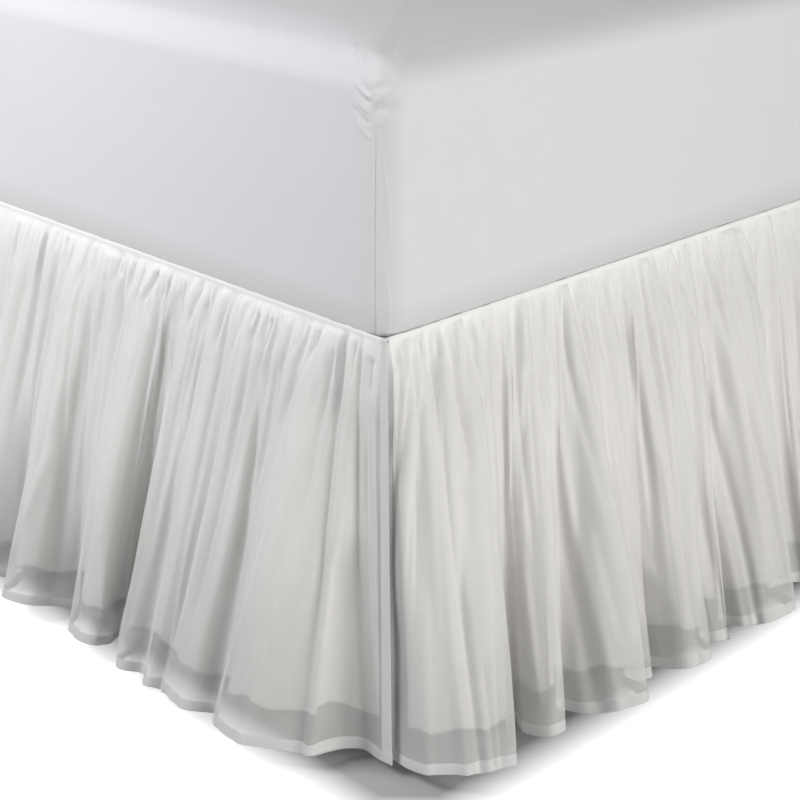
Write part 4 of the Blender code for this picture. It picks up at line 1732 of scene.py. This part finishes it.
@dataclass(frozen=True)
class Studio:
    """The floor, the lights and the camera."""

    heading: float = 45.7
    tilt: float = 22.3
    focal: float = 1690 / 800  # in picture widths
    place: tuple[float, float, float] = (1.87152, -2.00935, 1.03854)
    sensor: float = 36.0
    floor_size: float = 60.0
    sky: tuple[float, float, float] = (0.96, 0.98, 1.0)
    sky_strength: float = 0.06
    softboxes: tuple[Softbox, ...] = (
        Softbox("key", (-0.4, -2.35, 1.84), (0.2, -0.9, 0.73), (1.1, 0.9), 48, (0.98, 0.99, 1.0)),
        Softbox("fill", (3.65, -0.7, 1.05), (0.8, -0.5, 0.5), (2.2, 1.2), 73, (1.0, 0.985, 0.965)),
        Softbox("front", (3.4, -2.6, 0.6), (0.8, -0.7, 0.4), (2.2, 1.0), 8, (1.0, 0.99, 0.98)),
        Softbox("left", (-3.8, 2.4, 0.8), (-0.9, 0.0, 0.5), (2.0, 1.0), 75, (1.0, 1.0, 1.0)),
        Softbox("back", (0.1, 4.6, 0.8), (0.0, 1.1, 0.5), (2.0, 1.0), 50, (1.0, 1.0, 1.0)),
    )

    def camera(self) -> None:
        """Sets up the photograph's view."""
        lens = bpy.data.cameras.new("camera")
        lens.sensor_width = self.sensor
        lens.lens = self.focal * self.sensor
        lens.clip_start, lens.clip_end = 0.05, 200.0
        camera = bpy.data.objects.new("camera", lens)
        camera.location = self.place
        camera.rotation_euler = (math.radians(90 - self.tilt), 0, math.radians(self.heading))
        bpy.context.scene.collection.objects.link(camera)
        bpy.context.scene.camera = camera

    def floor(self) -> None:
        """Lays the floor."""
        sheet = bmesh.new()
        bmesh.ops.create_grid(sheet, x_segments=4, y_segments=4, size=self.floor_size / 2)
        mesh = bpy.data.meshes.new("floor")
        sheet.to_mesh(mesh)
        sheet.free()
        mesh.materials.append(PaperFloor().material())
        floor = bpy.data.objects.new("floor", mesh)
        bpy.context.scene.collection.objects.link(floor)
        lit = bpy.data.collections.new("lit_by_floor")
        lit.objects.link(floor)
        floor.light_linking.receiver_collection = lit

    def light(self, softbox: Softbox) -> None:
        """Hangs one softbox.

        Args:
            softbox: The light.
        """
        lamp = bpy.data.lights.new(softbox.name, "AREA")
        lamp.shape = "RECTANGLE"
        lamp.size, lamp.size_y = softbox.size
        lamp.energy = softbox.power
        lamp.color = softbox.tint
        thing = bpy.data.objects.new(softbox.name, lamp)
        thing.location = softbox.place
        aim = Vector(softbox.aim) - Vector(softbox.place)
        thing.rotation_euler = aim.to_track_quat("-Z", "Y").to_euler()
        thing.visible_camera = False
        bpy.context.scene.collection.objects.link(thing)

    def build(self) -> None:
        """Sets up everything that isn't part of the bed."""
        scene = bpy.context.scene
        scene.view_settings.view_transform = "Standard"
        world = bpy.data.worlds.new("studio")
        world.use_nodes = True
        sky = world.node_tree.nodes["Background"]
        sky.inputs["Color"].default_value = (*self.sky, 1.0)
        sky.inputs["Strength"].default_value = self.sky_strength
        scene.world = world
        self.camera()
        self.floor()
        for softbox in self.softboxes:
            self.light(softbox)


def main() -> None:
    """Builds the studio and every piece of the bed."""
    logging.basicConfig(level=logging.INFO, format="%(name)s %(message)s")
    Studio().build()
    Mattress().build()
    BoxSpring().build()
    BedFrame().build()
    Skirt().build()


if __name__ == "__main__":
    main()
